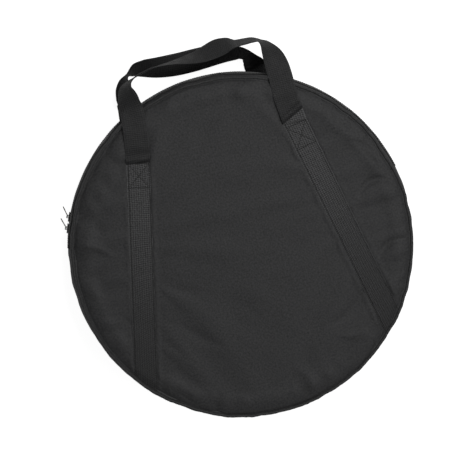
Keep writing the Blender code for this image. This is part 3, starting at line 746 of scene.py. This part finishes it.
def row_of(name, shape, runs, spacing, finish, unevenness):
    """A plain mesh of the shape, set along runs. A run is its points and the out direction at each."""
    mesh = bpy.data.meshes.new(name)
    starts = np.cumsum([0, *(len(points) for points, out in runs)])
    edges = [(start + step, start + step + 1)
             for start, (points, out) in zip(starts, runs) for step in range(len(points) - 1)]
    mesh.from_pydata(np.vstack([points for points, out in runs]).tolist(), edges, [])
    outs = mesh.attributes.new("out", "FLOAT_VECTOR", "POINT")
    outs.data.foreach_set("vector", np.vstack([out for points, out in runs]).astype(np.float32).ravel())
    obj = linked_object(name, mesh)
    modifier = obj.modifiers.new("row", "NODES")
    modifier.node_group = ROW
    inputs = {"Shape": shape, "Spacing": spacing, "Unevenness": unevenness, "Seed": ROW_SEED,
              "Finish": finish}
    for label, value in inputs.items():
        modifier[ROW_SOCKETS[label]] = value
    evaluated = obj.evaluated_get(bpy.context.evaluated_depsgraph_get())
    made = bpy.data.meshes.new_from_object(evaluated)
    obj.modifiers.remove(modifier)
    obj.data = made
    made.name = name
    made.shade_smooth()
    if "out" in made.attributes:
        made.attributes.remove(made.attributes["out"])
    return obj


COIL_SPECK = 0.004
COIL_ROUGHNESS, COIL_WORN = 0.42, 0.2


def coil_finish():
    """Black nylon line, slightly grey where it has rubbed."""
    finish = Finish("zip_coil", roughness=COIL_ROUGHNESS, coat_weight=0.1)
    place = finish.node("ShaderNodeTexCoord", {}, {}, output="Object")
    specks = finish.mottle(place, COIL_SPECK)
    finish.feed("Base Color", finish.between(specks, (0.030, 0.030, 0.030), (0.075, 0.074, 0.072)))
    finish.uneven_roughness(specks, COIL_WORN, COIL_ROUGHNESS)
    return finish.material


coil_nylon = coil_finish()
COIL_PITCH = 0.0017
COIL_LINE = 0.00036
COIL_HEAD = -0.0009
COIL_TAIL = 0.0030
COIL_HALF_HEIGHT = 0.0007
COIL_SHOULDER_share, COIL_SWELL_share = 0.4, 1.05
COIL_POINTS = 400
COIL_UNEVENNESS = 0.02
coil_low, coil_high = ring_reach("rear_zip_coil")
COIL_RADIUS = (coil_low + coil_high) / 2


def coil_loop(side):
    """One loop of the coil, from its sewn end to its head and back."""
    head, tail, half = side * COIL_HEAD, side * COIL_TAIL, COIL_HALF_HEIGHT
    shoulder, neck, swell = tail * COIL_SHOULDER_share, head / 2, half * COIL_SWELL_share
    path = [(0, tail, -half), (0, shoulder, -half), (0, neck, -swell), (0, head, 0), (0, neck, swell),
            (0, shoulder, half), (0, tail, half)]
    return small_tube("coil_loop", path, (1, 0, 0), COIL_LINE, coil_nylon, sides=5)


def rim_run(radius, angle, level):
    """A run of points round the rim, with the direction out of the rim at each."""
    return on_rim(radius, angle, level), np.stack([np.cos(angle), np.sin(angle), 0 * angle], axis=1)


def zip_coil(name, side, shift):
    """One half's coil, its loops shifted along so that they mesh."""
    angle = np.linspace(ZIP_START, ZIP_END, COIL_POINTS) + shift / COIL_RADIUS
    loop = coil_loop(side)
    runs = [rim_run(COIL_RADIUS, angle, MIDDLE)]
    coil = row_of(name, loop, runs, COIL_PITCH, coil_nylon, COIL_UNEVENNESS)
    bpy.data.objects.remove(loop)
    return coil


rear_coil = zip_coil("rear_zip_coil_loops", -1, COIL_PITCH / 2)
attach(rear_coil, "bag")
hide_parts("rear_zip_coil")
front_coil = zip_coil("front_zip_coil_loops", 1, 0)
crosses_fold(front_coil)
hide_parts("flap_zip_coil", "left_zip_end_coil", "right_zip_end_coil")


# The zip's stitching. Two rows of black bonded thread through each tape, one near the coil and one near the
# tape's outer edge.

THREAD_TWIST, TWIST_DEPTH = 0.0007, 0.0001


def thread_finish():
    """Black bonded thread, with its twist."""
    finish = Finish("thread", roughness=0.5, sheen_weight=0.2)
    place, across, along = finish.cloth_place()
    twist = (across + along).wave(THREAD_TWIST)
    finish.feed("Base Color", finish.between(twist, (0.002, 0.002, 0.002), (0.012, 0.012, 0.012)))
    finish.bump(twist, TWIST_DEPTH)
    return finish.material


thread = thread_finish()
STITCH_LENGTH = 0.0030
STITCH_SPACING = 0.0036
THREAD_RADIUS = 0.00048
STITCH_RISE_share = 0.8
STITCH_SINK = 0.0006
STITCH_POINTS = 6
STITCH_UNEVENNESS = 0.03
ZIP_ROWS = (0.0092, 0.0196)
ZIP_ROW_POINTS = 300
ZIP_ROW_MARGIN = 0.004


def thread_stitch():
    """One stitch: the thread comes up through the cloth, lies along it and goes down again."""
    path = [(x * STITCH_LENGTH / 2, 0, THREAD_RADIUS * STITCH_RISE_share - STITCH_SINK * x ** 4)
            for x in np.linspace(-1, 1, STITCH_POINTS)]
    return small_tube("stitch", path, (0, 1, 0), THREAD_RADIUS, thread)


stitch = thread_stitch()


def zip_stitches(name, side, strip):
    """The two rows that hold one half's tape to its strip."""
    runs = []
    for offset in ZIP_ROWS:
        angle = np.linspace(ZIP_START + ZIP_ROW_MARGIN, ZIP_END - ZIP_ROW_MARGIN, ZIP_ROW_POINTS)
        level = np.full(angle.shape, MIDDLE + side * offset)
        runs.append(rim_run(tape_face(angle, level, *strip), angle, level))
    sewn = row_of(name, stitch, runs, STITCH_SPACING, thread, STITCH_UNEVENNESS)
    return sewn


rear_zip_stitches = zip_stitches("rear_zip_stitches", -1, REAR_STRIP)
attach(rear_zip_stitches, "bag")
front_zip_stitches = zip_stitches("front_zip_stitches", 1, FRONT_STRIP)
crosses_fold(front_zip_stitches)


# The sliders and their pull tabs. The sliders are cast zinc with a black lacquer, and the tabs are stamped
# steel with a nickel finish, lightly scratched by use. Their solids are already the right shape and stay.

METAL_CLOUD = 0.003
SCRATCH_SCALE = (900, 900, 5200)
CLOUD_UNEVEN, SCRATCH_UNEVEN = 0.10, 0.14


def metal_finish(name, dark, light, scratch_depth, **numbers):
    """Metal with cloudy wear and fine scratches along one direction."""
    finish = Finish(name, **numbers)
    place = finish.node("ShaderNodeTexCoord", {}, {}, output="Object")
    cloud = finish.mottle(place, METAL_CLOUD)
    streaks = finish.node("ShaderNodeMapping", {}, {"Vector": place, "Scale": SCRATCH_SCALE})
    scratches = finish.node("ShaderNodeTexNoise", {}, {"Vector": streaks, "Scale": 1.0, "Detail": 2.0})
    finish.feed("Base Color", finish.between(cloud, dark, light))
    smoothest = numbers["roughness"] - (CLOUD_UNEVEN + SCRATCH_UNEVEN) / 2
    finish.feed("Roughness", cloud * CLOUD_UNEVEN + scratches * SCRATCH_UNEVEN + smoothest)
    finish.bump(scratches, scratch_depth)
    return finish.material


lacquer = metal_finish("black_lacquer", (0.012, 0.012, 0.012), (0.030, 0.030, 0.030), 0.00003,
                       roughness=0.38, coat_weight=0.3)
nickel = metal_finish("nickel_plate", (0.38, 0.37, 0.35), (0.60, 0.59, 0.56), 0.00004,
                      roughness=0.32, metallic=1.0)
for place in ("upper", "lower"):
    for kind, metal in (("slider", lacquer), ("pull_tab", nickel)):
        for held in frame["nodes"][f"{place}_{kind}"].material_slots:
            held.material = metal


# The seam bindings. Inside the bag, a soft ribbed tape folded over the raw edges of each panel's seam.

# Its edges carry the painted highlight from ribbed.
binding_cloth = ribbed("seam_binding", (0.020, 0.020, 0.020), (0.062, 0.062, 0.061), 0.0022, 0.0036, 0.0010,
                       roughness=0.68, sheen_weight=0.2)
BINDING_WIDTH = 0.009
BINDING_COLUMNS = 8
BINDING_STEP = 0.004
BINDING_WAVES = (0.012, 0.0002)
BINDING_EDGE_share = 0.9
EDGE_POWER = 8


def seam_binding(name, node, seed):
    """A flat ring of tape with rounded edges, which wavers a little."""
    low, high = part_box(node)
    outer = ring_reach(node)[1]
    count = round(2 * math.pi * outer / BINDING_STEP)
    angle = (np.arange(count) / count * 2 * math.pi)[:, None]
    share = np.cos(np.linspace(math.pi, 0, BINDING_COLUMNS + 1))[None, :]
    radius = outer - BINDING_WIDTH / 2 + BINDING_WIDTH / 2 * share
    round_off = np.sqrt(1 - BINDING_EDGE_share * share ** EDGE_POWER)
    wander = waves(angle * outer, angle * 0, BINDING_WAVES, seed)
    half = (high.z - low.z) / 2 * round_off + 0 * angle
    level = (low.z + high.z) / 2 + wander
    cloth = on_cloth(share * BINDING_WIDTH / 2, angle * outer)
    binding = slab(name, on_rim(radius, angle, level + half), on_rim(radius, angle, level - half), cloth,
                   (binding_cloth,), ring=True)
    return binding


back_binding = seam_binding("back_seam_binding_tape", "back_seam_binding", 91)
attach(back_binding, "bag")
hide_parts("back_seam_binding")
front_binding = seam_binding("front_seam_binding_tape", "front_seam_binding", 97)
crosses_fold(front_binding)
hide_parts("front_seam_binding", "flap_seam_binding")


# The piping. A cord in a bias strip of the same nylon, sewn into each rim seam, slightly puckered by the
# seam's thread. The front one crosses the fold with the cover.

PIPING_RADIUS = 0.0025
PIPING_SIDES = 12
PIPING_STEP = 0.0022
PIPING_SINK = 0.0007
PIPING_LINE = ring_reach("back_piping")[1] - PIPING_RADIUS - PIPING_SINK
PUCKER_WAVES = (0.020, 0.0004)
THICK_WAVES = (0.006, 0.14)
piping_cloth = woven("piping_cloth", (0.016, 0.016, 0.017), (0.048, 0.048, 0.048), NYLON_THREAD, 0.0003,
                     roughness=0.60)


def piping(name, level, seed):
    """A round cord along a rim seam, at this level."""
    count = round(2 * math.pi * SEAM_RADIUS / PIPING_STEP)
    angle = (np.arange(count) / count * 2 * math.pi)[:, None]
    round_it = np.linspace(0, 2 * math.pi, PIPING_SIDES, endpoint=False)[None, :]
    pucker = waves(np.cos(angle), np.sin(angle), PUCKER_WAVES, seed)
    thick = PIPING_RADIUS * (1 + waves(angle * SEAM_RADIUS, angle * 0, THICK_WAVES, seed))
    radius = PIPING_LINE + seam_wander(angle) + pucker + thick * np.cos(round_it)
    points = on_rim(radius, angle, level + pucker + thick * np.sin(round_it))
    index = np.arange(count * PIPING_SIDES).reshape(count, PIPING_SIDES)
    ahead, beside = np.roll(index, -1, axis=0), np.roll(index, -1, axis=1)
    faces = np.stack([index, beside, np.roll(ahead, -1, axis=1), ahead], axis=2).reshape(-1, 4).tolist()
    cloth = on_cloth(round_it * PIPING_RADIUS, angle * SEAM_RADIUS)
    cord = piece(name, points.reshape(-1, 3), faces, cloth.reshape(-1, 2), (piping_cloth,))
    return cord


front_piping = piping("front_piping_cord", FRONT_FACE - PIPING_RADIUS, 71)
crosses_fold(front_piping)
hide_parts("front_piping", "flap_piping")
back_piping = piping("back_piping_cord", BACK_FACE + PIPING_RADIUS, 83)
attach(back_piping, "bag")
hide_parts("back_piping")


# The straps. Black ribbed webbing, sewn flat down both faces along its edges, from the box stitch near the
# top to the rim seam. On the front it lifts off in a crease where the handle begins.

RIB_PITCH = 0.0030
RIB_HEIGHT = 0.00035
# From here out to each edge the webbing carries a painted highlight.
SELVEDGE = 0.0178
WEBBING_STEP = RIB_PITCH / 5
WEBBING_COLUMNS = 28
WEBBING_SEAT = 0.0002
STRAP_WAVES, STRAP_WAVES_RUN = (0.014, 0.0008), 0.02
SELVEDGE_ROUND_share = 0.92
RIM_SHORT = 0.0006
RAY_HEIGHT = 0.2
LEVEL_REACH = 3
ROW_OFFSET = 0.0163
ROW_DIP = 0.0006
DIP_WIDTH = 0.0012
ROW_START = 0.0020
ROW_MARGIN = 0.0040
BOX_START = 0.0045
BOX_HEIGHT = 0.038
# The pale colour is for the sewn-down straps, darkened down the face by painted shade; beyond SELVEDGE the
# edges carry a painted highlight.
webbing = ribbed("webbing", (0.001, 0.001, 0.001), (0.026, 0.026, 0.027), RIB_PITCH, SELVEDGE, 0.0012,
                 pale_colour=(0.105, 0.105, 0.107), roughness=0.60, sheen_weight=0.0)
# The crease's two ends at each side, from the disc's middle. The webbing dips in it and stands up beyond it.
LIFT_CREASES = (((-0.1457, 0.1726), (-0.1074, 0.1673)), ((0.1058, 0.1733), (0.1442, 0.1922)))
CREASE_DEPTH, CREASE_WIDTH, CREASE_SIDE = 0.0010, 0.0015, WEBBING_WIDTH * 3
LIFT_HEIGHT, LIFT_PLACE, LIFT_WIDTH = 0.0030, 0.0065, 0.0045
# The paler sewn webbing starts over this step at each crease; painted shade then takes this share of it away
# over this reach down the strap.
SEWN_PALE_RUN, PAINTED_SHADE_FALL_share, PAINTED_SHADE_REACH = 0.002, 0.78, 0.35
shares_across = np.cos(np.linspace(math.pi, 0, WEBBING_COLUMNS + 1))


def past_creases(x, y):
    """How far these places are past each crease, towards the handle, and whether they are on its strap."""
    for (ax, ay), (bx, by) in LIFT_CREASES:
        past = (x - DISC[0] - ax) * (ay - by) + (y - DISC[1] - ay) * (bx - ax)
        beside = np.abs(x - DISC[0] - (ax + bx) / 2) < CREASE_SIDE
        yield past / math.hypot(bx - ax, by - ay), beside


def lift_off(x, y):
    """How far the front webbing stands off its own line at these places."""
    height = np.zeros(x.shape)
    for past, beside in past_creases(x, y):
        height += beside * LIFT_HEIGHT * np.exp(-(((past - LIFT_PLACE) / LIFT_WIDTH) ** 2))
        height -= beside * CREASE_DEPTH * np.exp(-((past / CREASE_WIDTH) ** 2))
    return height


def sewn_paleness_and_shade(x, y):
    """How pale the webbing is painted: paler where it is sewn down than on the free loop, and less pale
    further down the strap, which is painted shade.
    """
    paleness = np.zeros(x.shape)
    for past, beside in past_creases(x, y):
        sewn = beside * eased(0.5 - past / SEWN_PALE_RUN)
        paleness = np.maximum(paleness, sewn * (1 - PAINTED_SHADE_FALL_share * eased(-past / PAINTED_SHADE_REACH)))
    return paleness


def ribbon(name, rows, travelled, drawn=0.0):
    """Webbing from a grid of points in its middle, ribbed across, with rounded selvedges. Drawn is how far
    stitches draw it in at each point."""
    over = unit(np.cross(np.gradient(rows, axis=1), np.gradient(rows, axis=0)))
    rounding = np.sqrt(1 - SELVEDGE_ROUND_share * shares_across ** EDGE_POWER)
    ribs = np.sin(travelled * 2 * math.pi / RIB_PITCH) * RIB_HEIGHT / 2
    half = (WEBBING_THICKNESS / 2 + ribs[:, None]) * rounding[None, :] - drawn
    face = rows + over * half[:, :, None]
    cloth = on_cloth(shares_across * WEBBING_WIDTH / 2, travelled[:, None])
    obj = slab(name, face, rows - over * half[:, :, None], cloth, (webbing,))
    # Each point's paleness: paler where sewn down, and darkened down the strap by painted shade.
    paleness = obj.data.attributes.new("paleness", "FLOAT", "POINT")
    paleness.data.foreach_set("value", np.tile(sewn_paleness_and_shade(rows[:, :, 0], rows[:, :, 1]).ravel(), 2).astype(np.float32))
    return obj


def surface_of(obj, outwards):
    """A function that finds how far out a piece's face is at a place."""
    points = [vertex.co for vertex in obj.data.vertices]
    tree = BVHTree.FromPolygons(points, [polygon.vertices for polygon in obj.data.polygons])

    def level(x, y):
        hit = tree.ray_cast(Vector((x, y, MIDDLE + outwards * RAY_HEIGHT)), Vector((0, 0, -outwards)))[0]
        return hit.z if hit else math.nan

    return level


def smoothed(levels, reach):
    """Fills the gaps in a run of levels, and rounds it over this many places."""
    places, known = np.arange(len(levels)), ~np.isnan(levels)
    whole = np.pad(np.interp(places, places[known], levels[known]), reach, mode="edge")
    weights = np.hanning(2 * reach + 1)
    return np.convolve(whole, weights / weights.sum(), mode="valid")


def to_rim(x, y, lean):
    """How far down the face a line from this place, with this lean, meets the rim's seam."""
    x, y, reach = x - DISC[0], y - DISC[1], SEAM_RADIUS - RIM_SHORT
    a, b, c = 1 + lean * lean, x * lean - y, x * x + y * y - reach * reach
    return (-b + math.sqrt(b * b - a * c)) / a


def strap_lines(side, top):
    """The lines of stitches on a strap, each as its two ends."""
    top_x, lean = STRAPS[side][0], STRAPS[side][2]
    slant = math.hypot(1, lean)

    def spot(across, down):
        return top_x + (across + down * lean) / slant, top + (across * lean - down) / slant

    low = BOX_START + BOX_HEIGHT
    lines = []
    for edge in (-ROW_OFFSET, ROW_OFFSET):
        first = ROW_START + edge * lean
        start = spot(edge, first)
        lines.append((start, spot(edge, first + to_rim(*start, lean) * slant - ROW_MARGIN)))
        lines.append((spot(edge, BOX_START), spot(-edge, low)))
    lines.append((spot(-ROW_OFFSET, BOX_START), spot(ROW_OFFSET, BOX_START)))
    lines.append((spot(-ROW_OFFSET, low), spot(ROW_OFFSET, low)))
    return lines


def sewn_strap(name, side, top, cover_level, outwards):
    """A sewn strap from its top edge down to the rim, lying on the cover."""
    top_x, lean = STRAPS[side][0], STRAPS[side][2]
    half_width = WEBBING_WIDTH / 2 * math.hypot(1, lean)
    starts = top_x + half_width * shares_across
    lengths = np.array([to_rim(x, top, lean) for x in starts])
    count = round(lengths.max() / WEBBING_STEP)
    down = np.linspace(0, 1, count + 1)[:, None] * lengths[None, :]
    wander = waves(down[:, :1], 0 * down[:, :1], STRAP_WAVES, 7 + top_x)
    wander *= eased(down[:, :1] / STRAP_WAVES_RUN)
    x, y = starts[None, :] + down * lean + wander, top - down
    coarse = np.arange(0, count + 1, FACE_EVERY)
    levels = [np.nanmean([cover_level(a, b) for a, b in zip(x[row], y[row])]) for row in coarse]
    base = np.interp(np.arange(count + 1), coarse, smoothed(np.array(levels), LEVEL_REACH))
    base += outwards * (WEBBING_SEAT + WEBBING_THICKNESS / 2)
    if outwards > 0:
        z = base[:, None] + lift_off(x, y)
    else:
        z = np.maximum(base, WEBBING_THICKNESS / 2 + RIB_HEIGHT / 2 + REST)[:, None] + 0 * x
    travelled = down[:, WEBBING_COLUMNS // 2] * math.hypot(1, lean)
    drawn = np.zeros(x.shape)
    for (ax, ay), (bx, by) in strap_lines(side, top):
        along = ((x - ax) * (bx - ax) + (y - ay) * (by - ay)) / ((bx - ax) ** 2 + (by - ay) ** 2)
        along = np.clip(along, 0, 1)
        away = np.hypot(x - ax - along * (bx - ax), y - ay - along * (by - ay))
        drawn = np.maximum(drawn, ROW_DIP * np.exp(-((away / DIP_WIDTH) ** 2)))
    return ribbon(name, np.stack([x, y, z], axis=2), travelled, drawn), base[0]


front_level_at = surface_of(front_cover, 1)
back_level_at = surface_of(back_cover, -1)
front_straps, back_straps = {}, {}
for side in STRAPS:
    strap, top_level = sewn_strap(f"front_{side}_webbing", side, FRONT_HINGE.y, front_level_at, 1)
    crosses_fold(strap)
    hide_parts(f"front_{side}_strap", f"flap_{side}_strap")
    front_straps[side] = strap, top_level
    strap, top_level = sewn_strap(f"back_{side}_webbing", side, BACK_HINGE.y, back_level_at, -1)
    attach(strap, "bag")
    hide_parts(f"back_{side}_strap")
    back_straps[side] = strap, top_level


# The strap stitching. A row of thread inside each edge of a strap, and at its top a box with a cross in it.

ROW_STEP = 0.002


def strap_stitches(name, straps, top, outwards):
    """The threads of both straps on a face."""
    runs = []
    for side, (strap, top_level) in straps.items():
        strap_level = surface_of(strap, outwards)
        for (ax, ay), (bx, by) in strap_lines(side, top):
            share = np.linspace(0, 1, round(math.hypot(bx - ax, by - ay) / ROW_STEP) + 1)
            x, y = ax + (bx - ax) * share, ay + (by - ay) * share
            level = smoothed(np.array([strap_level(*place) for place in zip(x, y)]), LEVEL_REACH)
            points = np.stack([x, y, level], axis=1)
            runs.append((points, np.tile([0.0, 0.0, outwards], (len(points), 1))))
    sewn = row_of(name, stitch, runs, STITCH_SPACING, thread, STITCH_UNEVENNESS)
    return sewn


front_stitches = strap_stitches("front_strap_stitches", front_straps, FRONT_HINGE.y, 1)
crosses_fold(front_stitches)
back_stitches = strap_stitches("back_strap_stitches", back_straps, BACK_HINGE.y, -1)
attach(back_stitches, "bag")
bpy.data.objects.remove(stitch)


# The carrying handles. The same webbing goes on from each strap's stitches as a free loop. The front loop
# twists until it stands on edge past the rim, and the back one lies slack on the ground.

SEAM_share = 0.62
# Stations along a loop: across as a share of half the span between the straps, up as a share of the way
# from the stitches to the loop's end, sag as a share of the front loop's sag, and the turn in degrees.
FRONT_LOOP_shares = (
    (-1.000, 0.000, 0.00, 0), (-0.949, 0.273, -0.06, 0), (-0.929, 0.426, -0.05, 0),
    (-0.928, 0.533, 0.00, 6), (-0.942, 0.627, 0.14, 30), (-0.947, 0.713, 0.28, 50),
    (-0.929, 0.773, 0.44, 64), (-0.870, 0.823, 0.60, 82), (-0.764, 0.860, 0.75, 92),
    (-0.630, 0.889, 0.85, 94), (-0.496, 0.905, 0.92, 90), (-0.268, 0.906, 1.00, 81),
    (-0.118, 0.903, 1.00, 70), (0.024, 0.902, 1.00, 60), (0.142, 0.917, 1.00, 50),
    (0.283, 0.940, 0.95, 43), (0.409, 0.949, 0.90, 52), (0.480, 0.945, 0.87, 65),
    (0.535, 0.941, 0.85, 73), (0.654, 0.938, 0.80, 75), (0.732, 0.933, 0.72, 77),
    (0.815, 0.912, 0.62, 82), (0.872, 0.870, 0.50, 67), (0.913, 0.790, 0.35, 44),
    (0.943, 0.690, 0.18, 22), (0.959, 0.553, 0.02, 4), (0.963, 0.420, -0.05, 0), (0.964, 0.286, -0.06, 0),
    (1.000, 0.000, 0.00, 0),
)
BACK_LOOP_shares = (
    (-1.000, 0.000, 0, 0), (-0.971, 0.259, 0, 0), (-0.956, 0.440, 0, 0), (-0.944, 0.547, 0, 0),
    (-0.947, 0.627, 0, -14), (-0.965, 0.700, 0, -36), (-0.965, 0.773, 0, -54), (-0.931, 0.843, 0, -70),
    (-0.869, 0.887, 0, -82), (-0.772, 0.927, 0, -61), (-0.661, 0.921, 0, -45), (-0.472, 0.891, 0, -30),
    (-0.244, 0.873, 0, -19), (-0.039, 0.871, 0, -17), (0.118, 0.873, 0, -22), (0.299, 0.873, 0, -32),
    (0.457, 0.860, 0, -44), (0.575, 0.830, 0, -60), (0.650, 0.787, 0, -64), (0.705, 0.720, 0, -48),
    (0.734, 0.667, 0, -26), (0.755, 0.613, 0, 0), (0.819, 0.446, 0, 0), (0.890, 0.253, 0, 0),
    (1.000, 0.000, 0, 0),
)
HANDLE_PAST_RIM = 0.057
FRONT_LOOP_SAG = 0.016
LOOP_POINTS = 60
END_SHEAR = 0.030
LEG_CLEAR = 0.0004
LEG_WAVES = (0.019, 0.0012)
LEG_COLUMNS_EVERY = 4
LEG_REACH, LEG_START = 4, 40


def loop_up(share, stitches):
    """Height up the face of a station. The loop lies over the face as far as the seam, and then past it."""
    rim = DISC[1] + SEAM_RADIUS
    if share < SEAM_share:
        return stitches + share / SEAM_share * (rim - stitches)
    return rim + (share - SEAM_share) / (1 - SEAM_share) * HANDLE_PAST_RIM


def turn_slope(before, start, end):
    """How fast the webbing's turn changes at a station, so that it never passes the stations beside it."""
    rise, next_rise = start - before, end - start
    if rise * next_rise <= 0:
        return 0
    return 2 * rise * next_rise / (rise + next_rise)


def smooth_stations(route):
    """Many stations on a smooth curve through the route's own. Their last value is the turn."""
    route = np.array(route, float)
    last = len(route) - 1
    t = (np.arange(LOOP_POINTS) / LOOP_POINTS)[:, None]
    stations = []
    for index in range(last):
        before, start, end, after = (route[min(max(index + offset, 0), last)] for offset in (-1, 0, 1, 2))
        curve = (start + (end - before) * t / 2 + (before * 2 - start * 5 + end * 4 - after) * t ** 2 / 2
                 + (start * 3 - before - end * 3 + after) * t ** 3 / 2)
        start_slope = turn_slope(before[-1], start[-1], end[-1])
        end_slope = turn_slope(start[-1], end[-1], after[-1])
        curve[:, -1:] = start[-1] + (end[-1] - start[-1]) * t * t * (3 - 2 * t)
        curve[:, -1:] += start_slope * t * (1 - t) ** 2 - end_slope * t * t * (1 - t)
        stations.append(curve)
    return np.vstack([*stations, route[-1:]])


def clear_of_cover(rows, free):
    """Ripples the front loop where it is free, and raises it where it would lie in the cover."""
    rows[:, :, 2] += lift_off(rows[:, :, 0], rows[:, :, 1])
    rows[:, :, 2] += waves(rows[:, :, 0], rows[:, :, 1], LEG_WAVES, 3) * free
    coarse = np.arange(0, len(rows), FACE_EVERY)
    beneath = rows[coarse][:, ::LEG_COLUMNS_EVERY]
    face = np.array([max(front_level_at(x, y) for x, y, z in row) for row in beneath])
    short = np.nan_to_num(face + WEBBING_THICKNESS / 2 + LEG_CLEAR - rows[coarse].min(axis=1)[:, 2])
    raised = smoothed(np.maximum(short, 0), LEG_REACH) * eased(coarse / LEG_START)
    rows[:, :, 2] += np.interp(np.arange(len(rows)), coarse, raised)[:, None]


def handle(name, loop_shares, level, hinge):
    """A free loop of webbing. Without a level it lies on the ground."""
    span = (STRAPS["right"][0] - STRAPS["left"][0]) / 2
    middle = (STRAPS["right"][0] + STRAPS["left"][0]) / 2
    route = [(middle + across * span, loop_up(up, hinge.y), (level or 0) - sag * FRONT_LOOP_SAG, turn)
             for across, up, sag, turn in loop_shares]
    stations = smooth_stations(route)
    middles, turn = stations[:, :3], np.radians(stations[:, 3])
    if level is None:
        middles[:, 2] = (WEBBING_WIDTH * np.sin(np.abs(turn)) + WEBBING_THICKNESS + RIB_HEIGHT) / 2
    length = np.concatenate([[0], np.cumsum(np.linalg.norm(np.diff(middles, axis=0), axis=1))])
    even = np.linspace(0, length[-1], round(length[-1] / WEBBING_STEP) + 1)
    middles = np.stack([np.interp(even, length, middles[:, axis]) for axis in range(3)], axis=1)
    turn = np.interp(even, length, turn)
    along = unit(np.gradient(middles, axis=0))
    inwards = unit(np.cross(along, [0, 0, 1]))
    across = inwards * np.cos(turn)[:, None] + np.cross(inwards, along) * np.sin(turn)[:, None]
    square = np.stack([np.sign(across[:, 0]), 0 * turn, 0 * turn], axis=1)
    free = eased(np.minimum(even, even[-1] - even) / END_SHEAR)[:, None]
    across = unit(square * (1 - free) + across * free)
    half_width = WEBBING_WIDTH / 2 / np.linalg.norm(np.cross(across, along), axis=1)
    rows = middles[:, None, :] + (across * half_width[:, None])[:, None, :] * shares_across[:, None]
    if level is not None:
        clear_of_cover(rows, free)
    free_loop = ribbon(name, rows, even)
    return free_loop


front_level = (front_straps["left"][1] + front_straps["right"][1]) / 2
front_handle = handle("front_handle_webbing", FRONT_LOOP_shares, front_level, FRONT_HINGE)
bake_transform(front_handle)
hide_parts("front_handle")
back_handle = handle("back_handle_webbing", BACK_LOOP_shares, None, BACK_HINGE)
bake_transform(back_handle)
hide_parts("back_handle")


# The floor, the lights and the camera. The bag lies on a white sweep under a soft lamp near the picture's
# top and a weaker one at its right, and is seen from almost straight above, turned a little.

ROLL = math.radians(14)
TILT, TILT_TOWARDS = math.radians(6), math.radians(106)
SENSOR_WIDTH = 36
CAMERA_DISTANCE = 3.0
PICTURE_WIDTH = 0.7142
AIM = Vector((-0.0177, 0.0403, 0))
picture_up = Vector((math.sin(ROLL), math.cos(ROLL), 0))
picture_right = Vector((math.cos(ROLL), -math.sin(ROLL), 0))
target = Vector(DISC) + AIM + Vector((0, 0, FRONT_FACE))
away = Vector((math.sin(TILT) * math.cos(TILT_TOWARDS), math.sin(TILT) * math.sin(TILT_TOWARDS),
               math.cos(TILT)))


def look_at(name, data, place, up):
    """A camera or a lamp at this place, looking at the bag."""
    back = (place - target).normalized()
    right = up.cross(back).normalized()
    turned = Matrix((right, back.cross(right), back)).transposed().to_4x4()
    obj = linked_object(name, data)
    obj.matrix_world = Matrix.Translation(place) @ turned
    return obj


camera_data = bpy.data.cameras.new("camera")
camera_data.sensor_width = SENSOR_WIDTH
camera_data.lens = SENSOR_WIDTH * CAMERA_DISTANCE / PICTURE_WIDTH
camera_data.clip_start, camera_data.clip_end = 0.05, 50
bpy.context.scene.camera = look_at("camera", camera_data, target + away * CAMERA_DISTANCE, picture_up)

# Each lamp's lean towards the picture's top and its right, its distance, its size and its power
LAMPS = {"key": (0.54, 0.22, 2.0, 0.8, 12), "fill": (-0.25, 0.80, 2.6, 1.4, 8.5)}
WORLD_LEVEL = 0.19
for lamp, (up, right, distance, size, power) in LAMPS.items():
    data = bpy.data.lights.new(lamp, "AREA")
    data.shape, data.size, data.energy = "SQUARE", size, power
    towards = Vector((0, 0, 1)) + picture_up * up + picture_right * right
    look_at(lamp, data, target + towards.normalized() * distance, Vector((0, 1, 0.01)))


def studio_world():
    """Dim light from all sides, and a white backdrop where the camera sees past the floor."""
    world = bpy.data.worlds.new("studio")
    bpy.context.scene.world = world
    world.use_nodes = True
    tree = world.node_tree
    background = tree.nodes["Background"]
    background.inputs["Color"].default_value = (1, 1, 1, 1)
    path = linked(tree, "ShaderNodeLightPath", {}, {}).outputs
    seen = linked(tree, "ShaderNodeMath", {"operation": "MAXIMUM"},
                  {0: path["Is Camera Ray"], 1: path["Is Transmission Ray"]}).outputs[0]
    level = linked(tree, "ShaderNodeMapRange", {},
                   {"Value": seen, "To Min": WORLD_LEVEL, "To Max": 1.0}).outputs[0]
    tree.links.new(level, background.inputs["Strength"])


studio_world()


def floor_finish():
    """White to the camera, with only a faint shadow, and pale grey to the light."""
    finish = Finish("floor", roughness=1.0, base_color=(0.93, 0.93, 0.93, 1))
    finish.shader.inputs["Specular IOR Level"].default_value = 0
    tree = finish.tree
    glow = linked(tree, "ShaderNodeEmission", {}, {"Strength": 0.90}).outputs[0]
    plain = linked(tree, "ShaderNodeBsdfDiffuse", {}, {"Color": (0.60, 0.60, 0.60, 1)}).outputs[0]
    seen = linked(tree, "ShaderNodeAddShader", {}, {0: glow, 1: plain}).outputs[0]
    path = linked(tree, "ShaderNodeLightPath", {}, {}).outputs
    mix = linked(tree, "ShaderNodeMixShader", {},
                 {0: path["Is Camera Ray"], 1: finish.shader.outputs[0], 2: seen}).outputs[0]
    tree.links.new(mix, tree.nodes["Material Output"].inputs["Surface"])
    return finish.material


FLOOR_HALF = 6
FLOOR_DROP = -0.0005
floor_mesh = bpy.data.meshes.new("floor")
floor_corners = ((-1, -1), (1, -1), (1, 1), (-1, 1))
floor_mesh.from_pydata([(x * FLOOR_HALF, y * FLOOR_HALF, FLOOR_DROP) for x, y in floor_corners], [],
                       [(0, 1, 2, 3)])
floor_mesh.materials.append(floor_finish())
floor = linked_object("floor", floor_mesh)
bpy.context.scene.view_settings.view_transform = "Standard"
